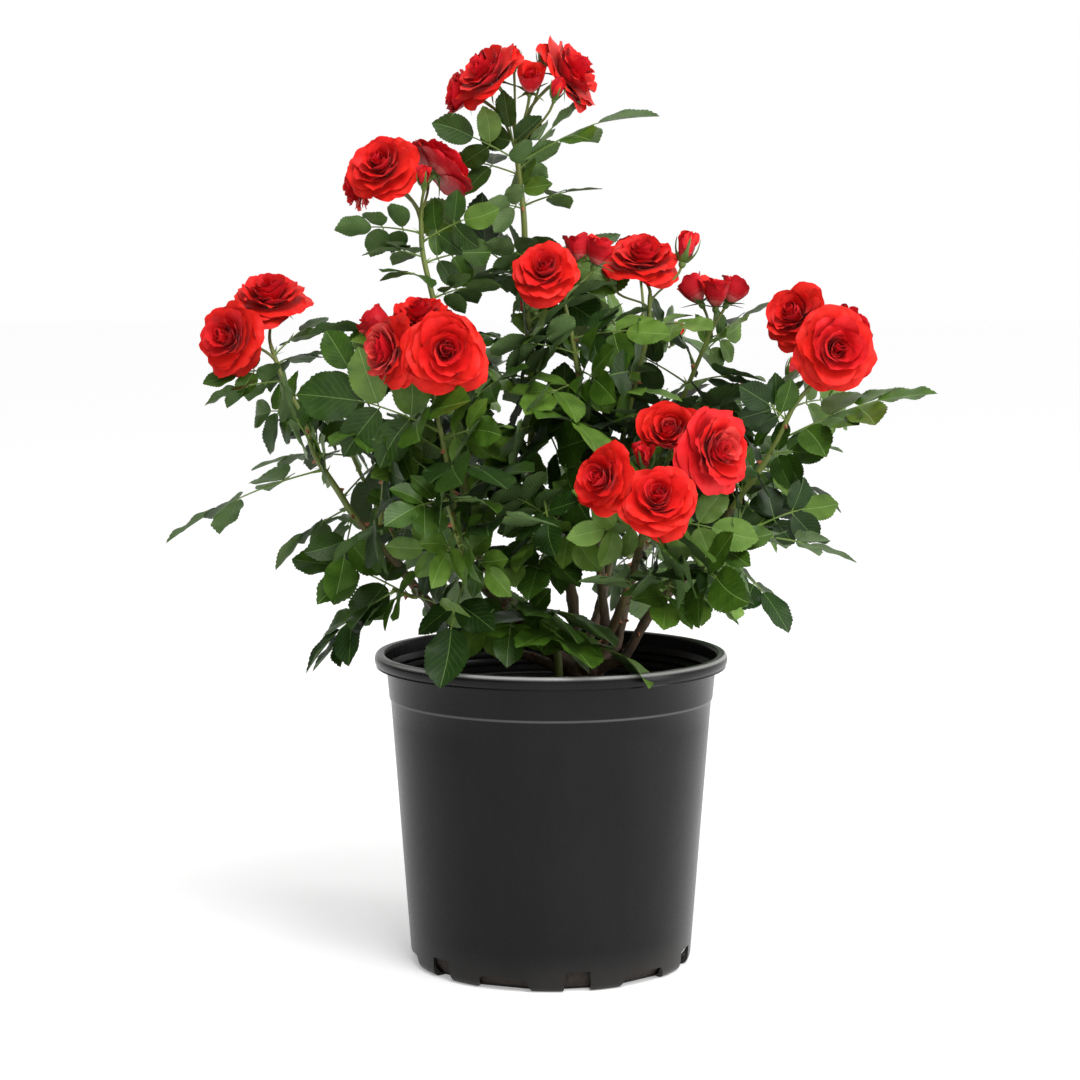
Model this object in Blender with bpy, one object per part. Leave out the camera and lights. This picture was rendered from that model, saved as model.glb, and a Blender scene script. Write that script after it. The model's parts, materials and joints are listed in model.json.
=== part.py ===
"""Potted rose bush: a black nursery pot, soil, canes from one root stock, and leafy flowering shoots.

Metres, +Z up. The origin is the middle of the pot's flat underside, and the front is -Y.
Each cane and each shoot is one closed solid. A shoot's stem starts 0.3 mm off the cane that carries it.
"""

import math
import random

import bmesh
import bpy
from mathutils import Matrix, Vector, noise
from mathutils.bvhtree import BVHTree

seatGap = 0.0003
turnPerLeaf = math.radians(137.5)
up = Vector((0, 0, 1))

# Pot, as radii and heights
rimRadius = 0.138
rimHeight = 0.244
lipDepth = 0.0105
mouthRadius = 0.130
bandTopRadius = 0.1288
bandFootRadius = 0.1267
bandFoot = 0.2075
wallTopRadius = 0.1255
wallFootRadius = 0.1105
baseRadius = 0.1045
cornerHeight = 0.007
wallThickness = 0.0022
potSides = 36
tallNotch = {"width": 0.023, "height": 0.016, "turn": 10.4}
wideNotch = {"width": 0.038, "height": 0.009, "turn": 40.4}
notchesEach = 6
notchDepth = 0.013

soilTop = 0.200
soilFloor = wallThickness + seatGap
stockMiddle = Vector((0.024, 0.003, 0.224))
stockRadii = (0.0165, 0.0150, 0.0190)
stockKnobs = {"depth": 0.18, "pitch": 2.3}
stockFoot = {"radius": 0.0185, "top": 0.0120, "height": 0.022}
stubFlare = (1.5, 1.12)

# Canes: the way that each one takes from its seat on the root stock, and its radii at foot and tip
canes = {
    "leader_cane": {
        "way": [(0.020, 0.005, 0.252), (0.016, 0.008, 0.290), (0.005, 0.012, 0.335),
                (-0.014, 0.018, 0.375), (-0.015, 0.020, 0.412)],
        "radii": (0.0048, 0.0034),
    },
    "left_inner_cane": {
        "way": [(0.000, -0.013, 0.246), (-0.036, -0.030, 0.284), (-0.062, -0.048, 0.315),
                (-0.065, -0.054, 0.358)],
        "radii": (0.0056, 0.0033),
    },
    "left_cane": {
        "way": [(-0.004, 0.006, 0.234), (-0.050, 0.000, 0.250), (-0.085, -0.012, 0.274),
                (-0.128, -0.025, 0.325), (-0.149, -0.030, 0.350)],
        "radii": (0.0042, 0.0030),
    },
    "centre_cane": {
        "way": [(0.039, 0.000, 0.250), (0.040, 0.000, 0.290), (0.036, -0.002, 0.340),
                (0.030, -0.005, 0.382)],
        "radii": (0.0042, 0.0030),
    },
    "right_cane": {
        "way": [(0.050, -0.010, 0.237), (0.078, -0.014, 0.276), (0.112, -0.022, 0.315),
                (0.140, -0.030, 0.360)],
        "radii": (0.0042, 0.0030),
    },
    "front_cane": {
        "way": [(0.030, -0.022, 0.238), (0.046, -0.050, 0.268), (0.058, -0.082, 0.305),
                (0.066, -0.110, 0.340)],
        "radii": (0.0042, 0.0029),
    },
    "back_right_cane": {
        "way": [(0.046, 0.018, 0.240), (0.058, 0.028, 0.272), (0.070, 0.034, 0.320),
                (0.085, 0.036, 0.378)],
        "radii": (0.0042, 0.0029),
    },
    "rear_right_cane": {
        "way": [(0.028, 0.030, 0.240), (0.040, 0.062, 0.272), (0.052, 0.105, 0.325),
                (0.062, 0.125, 0.370)],
        "radii": (0.0044, 0.0030),
    },
    "rear_left_cane": {
        "way": [(0.004, 0.024, 0.240), (-0.026, 0.052, 0.268), (-0.062, 0.090, 0.315),
                (-0.078, 0.112, 0.360)],
        "radii": (0.0044, 0.0030),
    },
}

# Shoots. "on" is the cane or stub and how far along it the stem starts (1 is its tip), and "way" the stem's points.
# Each bloom has its kind, its middle, the bearing and rise that it faces, its width, and where its stalk starts.
# Each spray is a leaf set by hand: where it starts, its tip, its leaflets and its roll in degrees.
# "leaves" more come by the rule, between the shares of the stem in "span".
shoots = {
    "leader_shoot": {
        "on": ("leader_cane", 1.0), "seed": 3, "radii": (0.0031, 0.0022),
        "way": [(-0.015, 0.022, 0.455), (-0.020, 0.020, 0.520), (-0.021, 0.015, 0.580), (-0.026, 0.010, 0.625)],
        "blooms": [
            ("open", (-0.048, 0.000, 0.694), 195, 50, 0.046, 1.0),
            ("half", (-0.076, 0.022, 0.674), 175, 10, 0.030, 0.97),
            ("open", (0.021, 0.008, 0.697), -15, 35, 0.054, 1.0),
            ("half", (-0.016, -0.012, 0.684), -85, 50, 0.025, 1.0),
            ("bud", (-0.029, 0.012, 0.702), 100, 75, 0.013, 0.98),
            ("bud", (-0.006, 0.022, 0.704), 60, 80, 0.013, 0.98),
            ("bud", (0.004, -0.024, 0.676), -60, 60, 0.013, 0.99),
        ],
        "sprays": [
            (0.99, (0.072, -0.010, 0.657), 5, 15),
            (1.0, (-0.096, -0.014, 0.656), 3, -10),
            (0.95, (-0.094, 0.038, 0.632), 5, 10),
            (0.88, (0.038, 0.000, 0.605), 3, 0),
            (0.83, (-0.053, 0.005, 0.596), 3, 0),
            (0.66, (-0.055, -0.015, 0.565), 3, 20),
            (0.80, (0.015, 0.055, 0.610), 5, 0),
        ],
        "leaves": 3, "span": (0.08, 0.56),
    },
    "leader_side_shoot": {
        "on": ("leader_cane", 0.72), "seed": 11, "radii": (0.0022, 0.0016),
        "way": [(-0.012, -0.012, 0.402), (-0.002, -0.040, 0.438)],
        "blooms": [],
        "sprays": [(0.95, (-0.005, -0.085, 0.412), 3, 0)],
        "leaves": 3, "span": (0.25, 0.95),
    },
    "upper_left_shoot": {
        "on": ("left_inner_cane", 1.0), "seed": 5, "radii": (0.0029, 0.0019),
        "way": [(-0.068, -0.052, 0.410), (-0.076, -0.045, 0.460), (-0.090, -0.035, 0.520),
                (-0.098, -0.030, 0.555), (-0.099, -0.028, 0.578)],
        "blooms": [
            ("open", (-0.130, -0.030, 0.624), -112, 32, 0.054, 1.0),
            ("open", (-0.151, 0.012, 0.606), 190, 0, 0.040, 0.97),
            ("open", (-0.080, -0.018, 0.621), 30, 45, 0.047, 1.0),
            ("half", (-0.098, 0.016, 0.626), 110, 60, 0.026, 0.98),
            ("bud", (-0.096, -0.042, 0.610), -80, 60, 0.013, 0.99),
        ],
        "sprays": [
            (0.96, (-0.166, -0.030, 0.571), 5, 10),
            (0.88, (-0.147, -0.050, 0.555), 5, -10),
            (0.93, (-0.040, -0.040, 0.580), 5, 10),
            (0.86, (-0.048, 0.010, 0.560), 5, 0),
            (0.80, (-0.125, -0.085, 0.540), 3, 0),
            (0.74, (-0.035, -0.050, 0.528), 5, 0),
        ],
        "leaves": 3, "span": (0.10, 0.66),
    },
    "centre_left_shoot": {
        "on": ("left_inner_cane", 0.80), "seed": 8, "radii": (0.0026, 0.0018),
        "way": [(-0.074, -0.080, 0.375), (-0.080, -0.098, 0.412), (-0.086, -0.100, 0.440)],
        "blooms": [
            ("open", (-0.077, -0.126, 0.482), -85, 8, 0.060, 1.0),
            ("open", (-0.122, -0.108, 0.482), -145, 5, 0.054, 0.98),
            ("open", (-0.098, -0.078, 0.508), -95, 65, 0.046, 0.99),
            ("half", (-0.128, -0.070, 0.500), 170, 35, 0.028, 0.97),
        ],
        "sprays": [
            (0.85, (-0.150, -0.130, 0.430), 5, 0),
            (0.80, (-0.035, -0.150, 0.430), 5, 0),
        ],
        "leaves": 3, "span": (0.15, 0.85),
    },
    "left_shoot": {
        "on": ("left_cane", 1.0), "seed": 21, "radii": (0.0027, 0.0017),
        "way": [(-0.162, -0.031, 0.370), (-0.181, -0.030, 0.400), (-0.190, -0.025, 0.428),
                (-0.206, -0.014, 0.456), (-0.217, 0.000, 0.482)],
        "blooms": [
            ("open", (-0.248, -0.020, 0.490), -122, 12, 0.050, 0.90),
            ("open", (-0.215, 0.010, 0.521), -90, 68, 0.056, 1.0),
        ],
        "sprays": [
            (0.32, (-0.296, -0.045, 0.333), 5, 10),
            (0.86, (-0.273, -0.020, 0.458), 3, 0),
            (0.80, (-0.266, -0.045, 0.440), 5, 0),
            (0.95, (-0.172, 0.020, 0.505), 3, 0),
            (0.72, (-0.154, -0.045, 0.437), 5, 0),
            (0.06, (-0.161, -0.080, 0.284), 5, 0),
            (0.10, (-0.216, -0.030, 0.322), 3, 0),
            (0.90, (-0.190, 0.065, 0.470), 5, 0),
            (0.60, (-0.240, 0.035, 0.420), 5, 0),
        ],
        "leaves": 2, "span": (0.12, 0.55),
    },
    "left_low_shoot": {
        "on": ("left_cane", 0.62), "seed": 31, "radii": (0.0022, 0.0015),
        "way": [(-0.104, -0.045, 0.292), (-0.120, -0.062, 0.300)],
        "blooms": [],
        "sprays": [
            (0.95, (-0.192, -0.070, 0.236), 7, 0),
            (0.90, (-0.110, -0.120, 0.285), 3, 0),
        ],
        "leaves": 1, "span": (0.5, 0.8),
    },
    "left_front_shoot": {
        "on": ("left_inner_cane", 0.55), "seed": 41, "radii": (0.0024, 0.0016),
        "way": [(-0.062, -0.075, 0.318), (-0.070, -0.105, 0.345), (-0.078, -0.120, 0.375)],
        "blooms": [],
        "sprays": [
            (0.35, (-0.086, -0.151, 0.232), 3, 0),
            (0.75, (-0.085, -0.165, 0.315), 3, 0),
            (0.98, (-0.118, -0.165, 0.365), 5, 0),
            (0.60, (-0.030, -0.140, 0.310), 5, 0),
        ],
        "leaves": 3, "span": (0.3, 1.0),
    },
    "left_middle_shoot": {
        "on": ("left_cane", 0.90), "seed": 47, "radii": (0.0023, 0.0015),
        "way": [(-0.128, -0.050, 0.368), (-0.126, -0.062, 0.400), (-0.130, -0.066, 0.425)],
        "blooms": [],
        "sprays": [
            (1.0, (-0.175, -0.060, 0.478), 5, 0),
        ],
        "leaves": 3, "span": (0.2, 1.0),
    },
    "middle_shoot": {
        "on": ("centre_cane", 1.0), "seed": 51, "radii": (0.0027, 0.0017),
        "way": [(0.027, -0.010, 0.425), (0.021, -0.014, 0.460), (0.015, -0.018, 0.495), (0.010, -0.018, 0.516)],
        "blooms": [
            ("open", (-0.005, -0.042, 0.541), -95, 35, 0.050, 1.0),
            ("half", (0.021, -0.008, 0.556), 100, 80, 0.022, 1.0),
            ("half", (0.038, -0.012, 0.554), -20, 75, 0.022, 0.98),
            ("bud", (-0.016, 0.030, 0.512), 130, 40, 0.014, 0.90),
        ],
        "sprays": [
            (0.80, (0.085, -0.050, 0.492), 5, 0),
            (0.72, (-0.050, -0.060, 0.480), 5, 0),
            (0.62, (0.040, -0.085, 0.450), 5, 0),
            (0.55, (-0.020, -0.090, 0.440), 5, 0),
        ],
        "leaves": 3, "span": (0.05, 0.75),
    },
    "middle_right_shoot": {
        "on": ("centre_cane", 0.78), "seed": 57, "radii": (0.0026, 0.0017),
        "way": [(0.054, 0.012, 0.400), (0.065, 0.015, 0.450), (0.075, 0.014, 0.490), (0.077, 0.011, 0.522)],
        "blooms": [
            ("open", (0.072, 0.020, 0.551), -90, 62, 0.054, 1.0),
            ("bud", (0.105, 0.018, 0.557), 20, 75, 0.019, 0.94),
            ("bud", (0.046, 0.022, 0.534), 150, 60, 0.013, 0.92),
        ],
        "sprays": [
            (0.86, (0.120, -0.020, 0.500), 5, 0),
            (0.80, (0.105, 0.060, 0.505), 5, 0),
            (0.70, (0.035, 0.060, 0.490), 5, 0),
        ],
        "leaves": 3, "span": (0.08, 0.62),
    },
    "back_right_shoot": {
        "on": ("back_right_cane", 1.0), "seed": 61, "radii": (0.0026, 0.0016),
        "way": [(0.098, 0.032, 0.425), (0.111, 0.029, 0.458), (0.122, 0.026, 0.485)],
        "blooms": [
            ("half", (0.111, 0.030, 0.527), 160, 60, 0.028, 1.0),
            ("half", (0.129, 0.018, 0.527), -80, 78, 0.028, 1.0),
            ("half", (0.144, 0.036, 0.526), 15, 62, 0.028, 1.0),
        ],
        "sprays": [
            (0.95, (0.172, 0.010, 0.512), 5, 0),
            (0.90, (0.158, 0.060, 0.500), 5, 0),
            (0.82, (0.100, 0.090, 0.490), 5, 0),
            (0.70, (0.165, -0.020, 0.465), 5, 0),
        ],
        "leaves": 2, "span": (0.05, 0.75),
    },
    "right_shoot": {
        "on": ("right_cane", 1.0), "seed": 71, "radii": (0.0027, 0.0018),
        "way": [(0.160, -0.038, 0.390), (0.174, -0.042, 0.415), (0.184, -0.046, 0.438), (0.199, -0.048, 0.456)],
        "blooms": [
            ("open", (0.186, -0.030, 0.507), -130, 30, 0.053, 0.95),
            ("open", (0.216, -0.062, 0.481), -82, 6, 0.063, 1.0),
            ("open", (0.233, -0.014, 0.495), 15, 22, 0.046, 0.98),
        ],
        "sprays": [
            (0.55, (0.289, -0.062, 0.452), 7, 10),
            (0.45, (0.205, -0.085, 0.400), 5, 0),
            (0.70, (0.140, -0.075, 0.450), 5, 0),
            (0.62, (0.165, 0.030, 0.450), 5, 0),
            (0.80, (0.245, 0.045, 0.430), 5, 0),
        ],
        "leaves": 2, "span": (0.05, 0.45),
    },
    "right_low_shoot": {
        "on": ("right_cane", 0.62), "seed": 81, "radii": (0.0023, 0.0015),
        "way": [(0.124, -0.045, 0.318), (0.142, -0.058, 0.335), (0.156, -0.062, 0.348)],
        "blooms": [],
        "sprays": [
            (1.0, (0.218, -0.045, 0.368), 5, 0),
            (0.85, (0.229, -0.072, 0.322), 5, 0),
            (0.50, (0.182, -0.092, 0.273), 5, 0),
            (0.70, (0.150, -0.120, 0.300), 5, 0),
        ],
        "leaves": 1, "span": (0.3, 0.9),
    },
    "front_shoot": {
        "on": ("front_cane", 1.0), "seed": 91, "radii": (0.0027, 0.0019),
        "way": [(0.072, -0.122, 0.360), (0.078, -0.124, 0.378)],
        "blooms": [
            ("cup", (0.085, -0.122, 0.427), -97, 42, 0.042, 1.0),
            ("open", (0.121, -0.132, 0.411), -52, 10, 0.055, 0.98),
            ("open", (0.036, -0.150, 0.391), -130, 14, 0.047, 0.95),
            ("open", (0.076, -0.168, 0.378), -90, 32, 0.055, 1.0),
            ("bud", (0.058, -0.118, 0.410), -110, 60, 0.017, 0.95),
        ],
        "sprays": [
            (0.55, (0.152, -0.140, 0.345), 5, 0),
            (0.45, (0.010, -0.150, 0.345), 5, 0),
        ],
        "leaves": 2, "span": (0.1, 0.8),
    },
    "front_low_shoot": {
        "on": ("front_cane", 0.55), "seed": 101, "radii": (0.0023, 0.0016),
        "way": [(0.075, -0.082, 0.300), (0.100, -0.100, 0.318), (0.118, -0.108, 0.330)],
        "blooms": [],
        "sprays": [
            (0.90, (0.136, -0.155, 0.293), 5, 0),
            (0.50, (0.085, -0.160, 0.282), 5, 0),
            (1.0, (0.165, -0.120, 0.352), 3, 0),
        ],
        "leaves": 1, "span": (0.3, 0.9),
    },
    "front_middle_shoot": {
        "on": ("leader_cane", 0.36), "seed": 111, "radii": (0.0023, 0.0016),
        "way": [(0.008, -0.030, 0.318), (0.000, -0.065, 0.350), (-0.006, -0.085, 0.372)],
        "blooms": [],
        "sprays": [
            (1.0, (-0.003, -0.135, 0.335), 3, 0),
            (0.80, (-0.042, -0.120, 0.375), 5, 0),
            (0.85, (0.040, -0.125, 0.318), 5, 0),
        ],
        "leaves": 3, "span": (0.35, 1.0),
    },
    "inner_low_shoot": {
        "on": ("left_inner_cane", 0.25), "seed": 121, "radii": (0.0020, 0.0014),
        "way": [(-0.022, -0.045, 0.278), (-0.030, -0.062, 0.290)],
        "blooms": [],
        "sprays": [
            (1.0, (-0.030, -0.115, 0.255), 5, 0),
            (0.85, (-0.075, -0.095, 0.258), 5, 0),
            (0.9, (0.006, -0.100, 0.262), 3, 0),
        ],
        "leaves": 1, "span": (0.5, 0.9),
    },
    "stub_leaf": {
        "on": ("cut_stub", 0.86), "seed": 131, "radii": (0.0013, 0.0011),
        "way": [(0.018, -0.052, 0.257), (0.026, -0.066, 0.258)],
        "blooms": [],
        "sprays": [(1.0, (0.082, -0.134, 0.243), 5, 0)],
        "leaves": 0, "span": (0.5, 0.9),
    },
    "rear_right_shoot": {
        "on": ("rear_right_cane", 1.0), "seed": 141, "radii": (0.0028, 0.0018),
        "way": [(0.068, 0.148, 0.415), (0.076, 0.161, 0.465), (0.078, 0.172, 0.505)],
        "blooms": [
            ("open", (0.074, 0.190, 0.542), 95, 55, 0.050, 1.0),
            ("open", (0.108, 0.224, 0.500), 65, 20, 0.050, 0.98),
            ("half", (0.050, 0.217, 0.515), 120, 60, 0.026, 0.97),
        ],
        "sprays": [
            (0.90, (0.150, 0.224, 0.470), 3, 0),
            (0.80, (0.030, 0.259, 0.470), 3, 0),
        ],
        "leaves": 3, "span": (0.05, 0.8),
    },
    "rear_left_shoot": {
        "on": ("rear_left_cane", 1.0), "seed": 151, "radii": (0.0028, 0.0018),
        "way": [(-0.086, 0.135, 0.395), (-0.090, 0.152, 0.425), (-0.094, 0.163, 0.455)],
        "blooms": [
            ("open", (-0.104, 0.190, 0.492), 115, 45, 0.056, 1.0),
            ("open", (-0.066, 0.219, 0.470), 80, 15, 0.050, 0.97),
            ("half", (-0.130, 0.210, 0.470), 150, 50, 0.026, 0.99),
        ],
        "sprays": [
            (0.85, (-0.165, 0.203, 0.440), 3, 0),
            (0.75, (-0.040, 0.259, 0.430), 3, 0),
        ],
        "leaves": 3, "span": (0.05, 0.8),
    },
    "rear_low_right_shoot": {
        "on": ("rear_right_cane", 0.66), "seed": 161, "radii": (0.0024, 0.0016),
        "way": [(0.066, 0.122, 0.305), (0.092, 0.155, 0.330), (0.108, 0.169, 0.360)],
        "blooms": [("open", (0.128, 0.199, 0.392), 50, 25, 0.054, 1.0)],
        "sprays": [
            (0.60, (0.110, 0.259, 0.300), 3, 0),
            (0.80, (0.185, 0.162, 0.330), 5, 0),
        ],
        "leaves": 2, "span": (0.2, 0.9),
    },
    "rear_low_left_shoot": {
        "on": ("rear_left_cane", 0.62), "seed": 171, "radii": (0.0024, 0.0016),
        "way": [(-0.062, 0.103, 0.292), (-0.080, 0.152, 0.315), (-0.092, 0.180, 0.350)],
        "blooms": [("open", (-0.100, 0.221, 0.378), 110, 20, 0.052, 1.0)],
        "sprays": [
            (0.60, (-0.060, 0.266, 0.290), 3, 0),
            (0.80, (-0.165, 0.183, 0.320), 5, 0),
        ],
        "leaves": 2, "span": (0.2, 0.9),
    },
    "left_back_shoot": {
        "on": ("left_cane", 0.72), "seed": 181, "radii": (0.0024, 0.0016),
        "way": [(-0.122, 0.020, 0.330), (-0.148, 0.048, 0.372), (-0.164, 0.062, 0.405)],
        "blooms": [("open", (-0.180, 0.085, 0.425), 130, 35, 0.052, 1.0)],
        "sprays": [
            (0.90, (-0.245, 0.080, 0.385), 5, 0),
            (0.60, (-0.185, 0.075, 0.310), 3, 0),
        ],
        "leaves": 3, "span": (0.2, 0.95),
    },
    "right_back_shoot": {
        "on": ("back_right_cane", 0.60), "seed": 191, "radii": (0.0025, 0.0016),
        "way": [(0.100, 0.050, 0.345), (0.138, 0.066, 0.385), (0.158, 0.074, 0.420)],
        "blooms": [
            ("open", (0.196, 0.082, 0.462), 30, 35, 0.054, 1.0),
            ("half", (0.160, 0.110, 0.440), 100, 50, 0.026, 0.96),
        ],
        "sprays": [
            (0.90, (0.238, 0.070, 0.400), 5, 0),
            (0.60, (0.190, 0.060, 0.320), 3, 0),
        ],
        "leaves": 3, "span": (0.2, 0.9),
    },
}

caneSides, caneSteps = 6, 9
stemSides, stemSteps = 4, 8
leadLength = 0.004
spurLength = 0.004
spurFlare = (1.6, 1.15)
stub = {"way": [(0.004, -0.040, soilTop), (0.006, -0.041, 0.230), (0.004, -0.042, 0.257)], "radii": (0.0034, 0.0029)}

# Blooms, as shares of their width: rings of radius and height from the foot up
bloomRings = {
    "open": [(0.06, 0.00), (0.40, 0.20), (0.50, 0.40), (0.20, 0.50)],
    "cup": [(0.07, 0.00), (0.42, 0.24), (0.50, 0.56), (0.22, 0.70)],
    "half": [(0.10, 0.00), (0.40, 0.26), (0.44, 0.80), (0.15, 1.10)],
    "bud": [(0.16, 0.00), (0.48, 0.50), (0.10, 1.45)],
}
bloomSides = {"open": 8, "cup": 8, "half": 6, "bud": 5}
stalkSteps = 2
stalkLead = 0.35
stalkSink = 0.003
stalkRadius = {"open": 0.0013, "cup": 0.0013, "half": 0.0011, "bud": 0.0009}

lightSide = Vector((0, -0.45, 0))
leafHang = (0.25, 0.55)
fiveShare = 0.12
leafReach = (0.086, 0.106)
terminalShare = {3: 0.46, 5: 0.38, 7: 0.31}
terminalSpan = (0.028, 0.052)
leafletShape = 0.76
leafletThickness = 0.0010
leafSpare = 0.0005
pairHalf = 0.0016
pairPlaces = {3: (0.68,), 5: (0.38, 0.80), 7: (0.28, 0.55, 0.82)}
pairTurns = (78, 56)
rachisRadii = (0.00105, 0.00075)
steadyShifts = (0, -0.012, 0.012, -0.024, 0.024, -0.036, 0.036)
leafTurns = ((18, 1.0), (-18, 1.0), (34, 0.92), (-34, 0.92), (55, 0.85), (-55, 0.85))
leafLifts = (0.3, -0.3)


# Shapes as lists of points and faces

def smoothWay(points, count):
    """Evenly spaced points on a smooth curve through the given ones."""
    knots = [Vector(p) for p in points]
    fine = []
    for i in range(len(knots) - 1):
        a, b = knots[i], knots[i + 1]
        before = knots[i - 1] if i else a - (b - a)
        after = knots[i + 2] if i + 2 < len(knots) else b + (b - a)
        span = (b - a).length
        leave = (b - before) * (span / ((a - before).length + span))
        arrive = (after - a) * (span / ((after - b).length + span))
        for k in range(12):
            s = k / 12
            fine.append(
                a * (2 * s**3 - 3 * s**2 + 1) + leave * (s**3 - 2 * s**2 + s)
                + b * (3 * s**2 - 2 * s**3) + arrive * (s**3 - s**2)
            )
    fine.append(knots[-1])
    lengths = [0.0]
    for a, b in zip(fine, fine[1:]):
        lengths.append(lengths[-1] + (b - a).length)
    out = []
    k = 0
    for i in range(count):
        want = lengths[-1] * i / (count - 1)
        while k < len(lengths) - 2 and lengths[k + 1] < want:
            k += 1
        share = (want - lengths[k]) / (lengths[k + 1] - lengths[k])
        out.append(fine[k].lerp(fine[k + 1], min(share, 1.0)))
    return out


def spot(line, share):
    """The point a share of the way along, and the direction there."""
    place = min(max(share, 0.0), 1.0) * (len(line) - 1)
    k = min(int(place), len(line) - 2)
    before, after = line[max(k - 1, 0)], line[min(k + 2, len(line) - 1)]
    return line[k].lerp(line[k + 1], place - k), (after - before).normalized()


def across(direction, hint=up):
    """A unit vector square to the direction, near the hint."""
    flat = hint - direction * hint.dot(direction)
    if flat.length < 1e-4:
        flat = direction.orthogonal()
    return flat.normalized()


def tube(line, radii, sides):
    """A closed tapering tube with flat ends."""
    points = []
    side = across((line[1] - line[0]).normalized(), Vector((1, 0.2, 0)))
    for i, middle in enumerate(line):
        ahead = line[min(i + 1, len(line) - 1)] - line[max(i - 1, 0)]
        ahead.normalize()
        side = across(ahead, side)
        other = ahead.cross(side)
        radius = radii[0] + (radii[1] - radii[0]) * i / (len(line) - 1)
        for k in range(sides):
            angle = math.tau * k / sides
            points.append(middle + side * (radius * math.cos(angle)) + other * (radius * math.sin(angle)))
    faces = []
    for i in range(len(line) - 1):
        for k in range(sides):
            a, b = i * sides + k, i * sides + (k + 1) % sides
            faces.append((a, b, b + sides, a + sides))
    faces.append(tuple(reversed(range(sides))))
    faces.append(tuple(range(len(points) - sides, len(points))))
    return points, faces


def leafBody(foot, tip, leaflets, roll, rng, spare=0.0):
    """One rose leaf as a closed body: a three-sided arching stalk, pairs of blades and one at its end."""
    span = (tip - foot).length
    bend = foot.lerp(tip, 0.5) + up * (0.10 * span)
    line = [foot.lerp(bend, s).lerp(bend.lerp(tip, s), s) for s in (0.0, 0.2, 0.4, 0.6, 0.8, 1.0)]
    terminal = min(max(terminalShare[leaflets] * span, terminalSpan[0]), terminalSpan[1])
    stalk = 1 - terminal / span
    out = Vector((tip.x, tip.y, 0)).normalized()
    low = min(max((leafHang[1] - tip.z) / (leafHang[1] - leafHang[0]), 0.0), 1.0)
    sky = up + out * (0.25 + 0.65 * low) + lightSide
    shape = bmesh.new()

    def frame(share):
        place, ahead = spot(line, share * stalk)
        face = Matrix.Rotation(math.radians(roll), 3, ahead) @ across(ahead, sky)
        return place, ahead, face

    def ring(share):
        place, ahead, face = frame(share)
        radius = rachisRadii[0] + (rachisRadii[1] - rachisRadii[0]) * share + spare
        side = ahead.cross(face)
        return [shape.verts.new(place + move * radius) for move in (side, face, -side)]

    def blade(root, middle, way, face, length):
        """A pointed blade on the ring of points at its root."""
        side = way.cross(face)
        half = length * leafletShape / 2 + spare
        crest = middle + way * (0.46 * length)
        lift = face * (0.06 * half)
        left = shape.verts.new(crest + side * half + lift)
        right = shape.verts.new(crest - side * half + lift)
        ridge = shape.verts.new(crest + lift + face * (leafletThickness + spare))
        end = shape.verts.new(middle + way * (length + spare) - face * (0.06 * length))
        for faces in ((left, ridge, end), (ridge, right, end), (right, left, end)):
            shape.faces.new(faces)
        if len(root) == 3:
            for i, (a, b) in enumerate(((left, ridge), (ridge, right), (right, left))):
                shape.faces.new((root[i], root[(i + 1) % 3], b, a))
            return
        near, far, farTop, nearTop = root
        front, back = (left, right) if (far.co - near.co).dot(side) > 0 else (right, left)
        for faces in (
            (near, far, front, back), (far, farTop, front), (farTop, ridge, front), (farTop, nearTop, ridge),
            (nearTop, back, ridge), (nearTop, near, back),
        ):
            shape.faces.new(faces)

    places = [0.0]
    for place in pairPlaces[leaflets]:
        place += rng.uniform(-0.02, 0.02)
        places += [place - pairHalf / (stalk * span), place + pairHalf / (stalk * span)]
    rings = [ring(place) for place in places + [1.0]]
    shape.faces.new(rings[0])
    for j, (near, far) in enumerate(zip(rings, rings[1:])):
        shape.faces.new((near[2], near[0], far[0], far[2]))
        paired = j % 2 == 1 and j < len(places) - 1
        for low, turn in ((0, 1), (2, -1)):
            if not paired:
                shape.faces.new((near[low], far[low], far[1], near[1]))
                continue
            middle, ahead, face = frame((places[j] + places[j + 1]) / 2)
            angle = pairTurns[0] + (pairTurns[1] - pairTurns[0]) * places[j] + rng.uniform(-7, 7)
            angle = -turn * math.radians(angle)
            face = Matrix.Rotation(math.radians(rng.uniform(-14, 14)), 3, ahead) @ face
            way = (Matrix.Rotation(angle, 3, face) @ ahead - up * 0.10).normalized()
            grow = 0.80 + 0.12 * (j // 2 + 1) / len(pairPlaces[leaflets])
            blade((near[low], far[low], far[1], near[1]), middle, way, across(way, face),
                  terminal * grow * rng.uniform(0.92, 1.06))
    middle, ahead, face = frame(1.0)
    blade(rings[-1], middle, (ahead - up * 0.08).normalized(), across(ahead, face), terminal)
    bmesh.ops.recalc_face_normals(shape, faces=shape.faces)
    shape.verts.index_update()
    points = [vert.co.copy() for vert in shape.verts]
    faces = [tuple(vert.index for vert in face.verts) for face in shape.faces]
    shape.free()
    return points, faces


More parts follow.
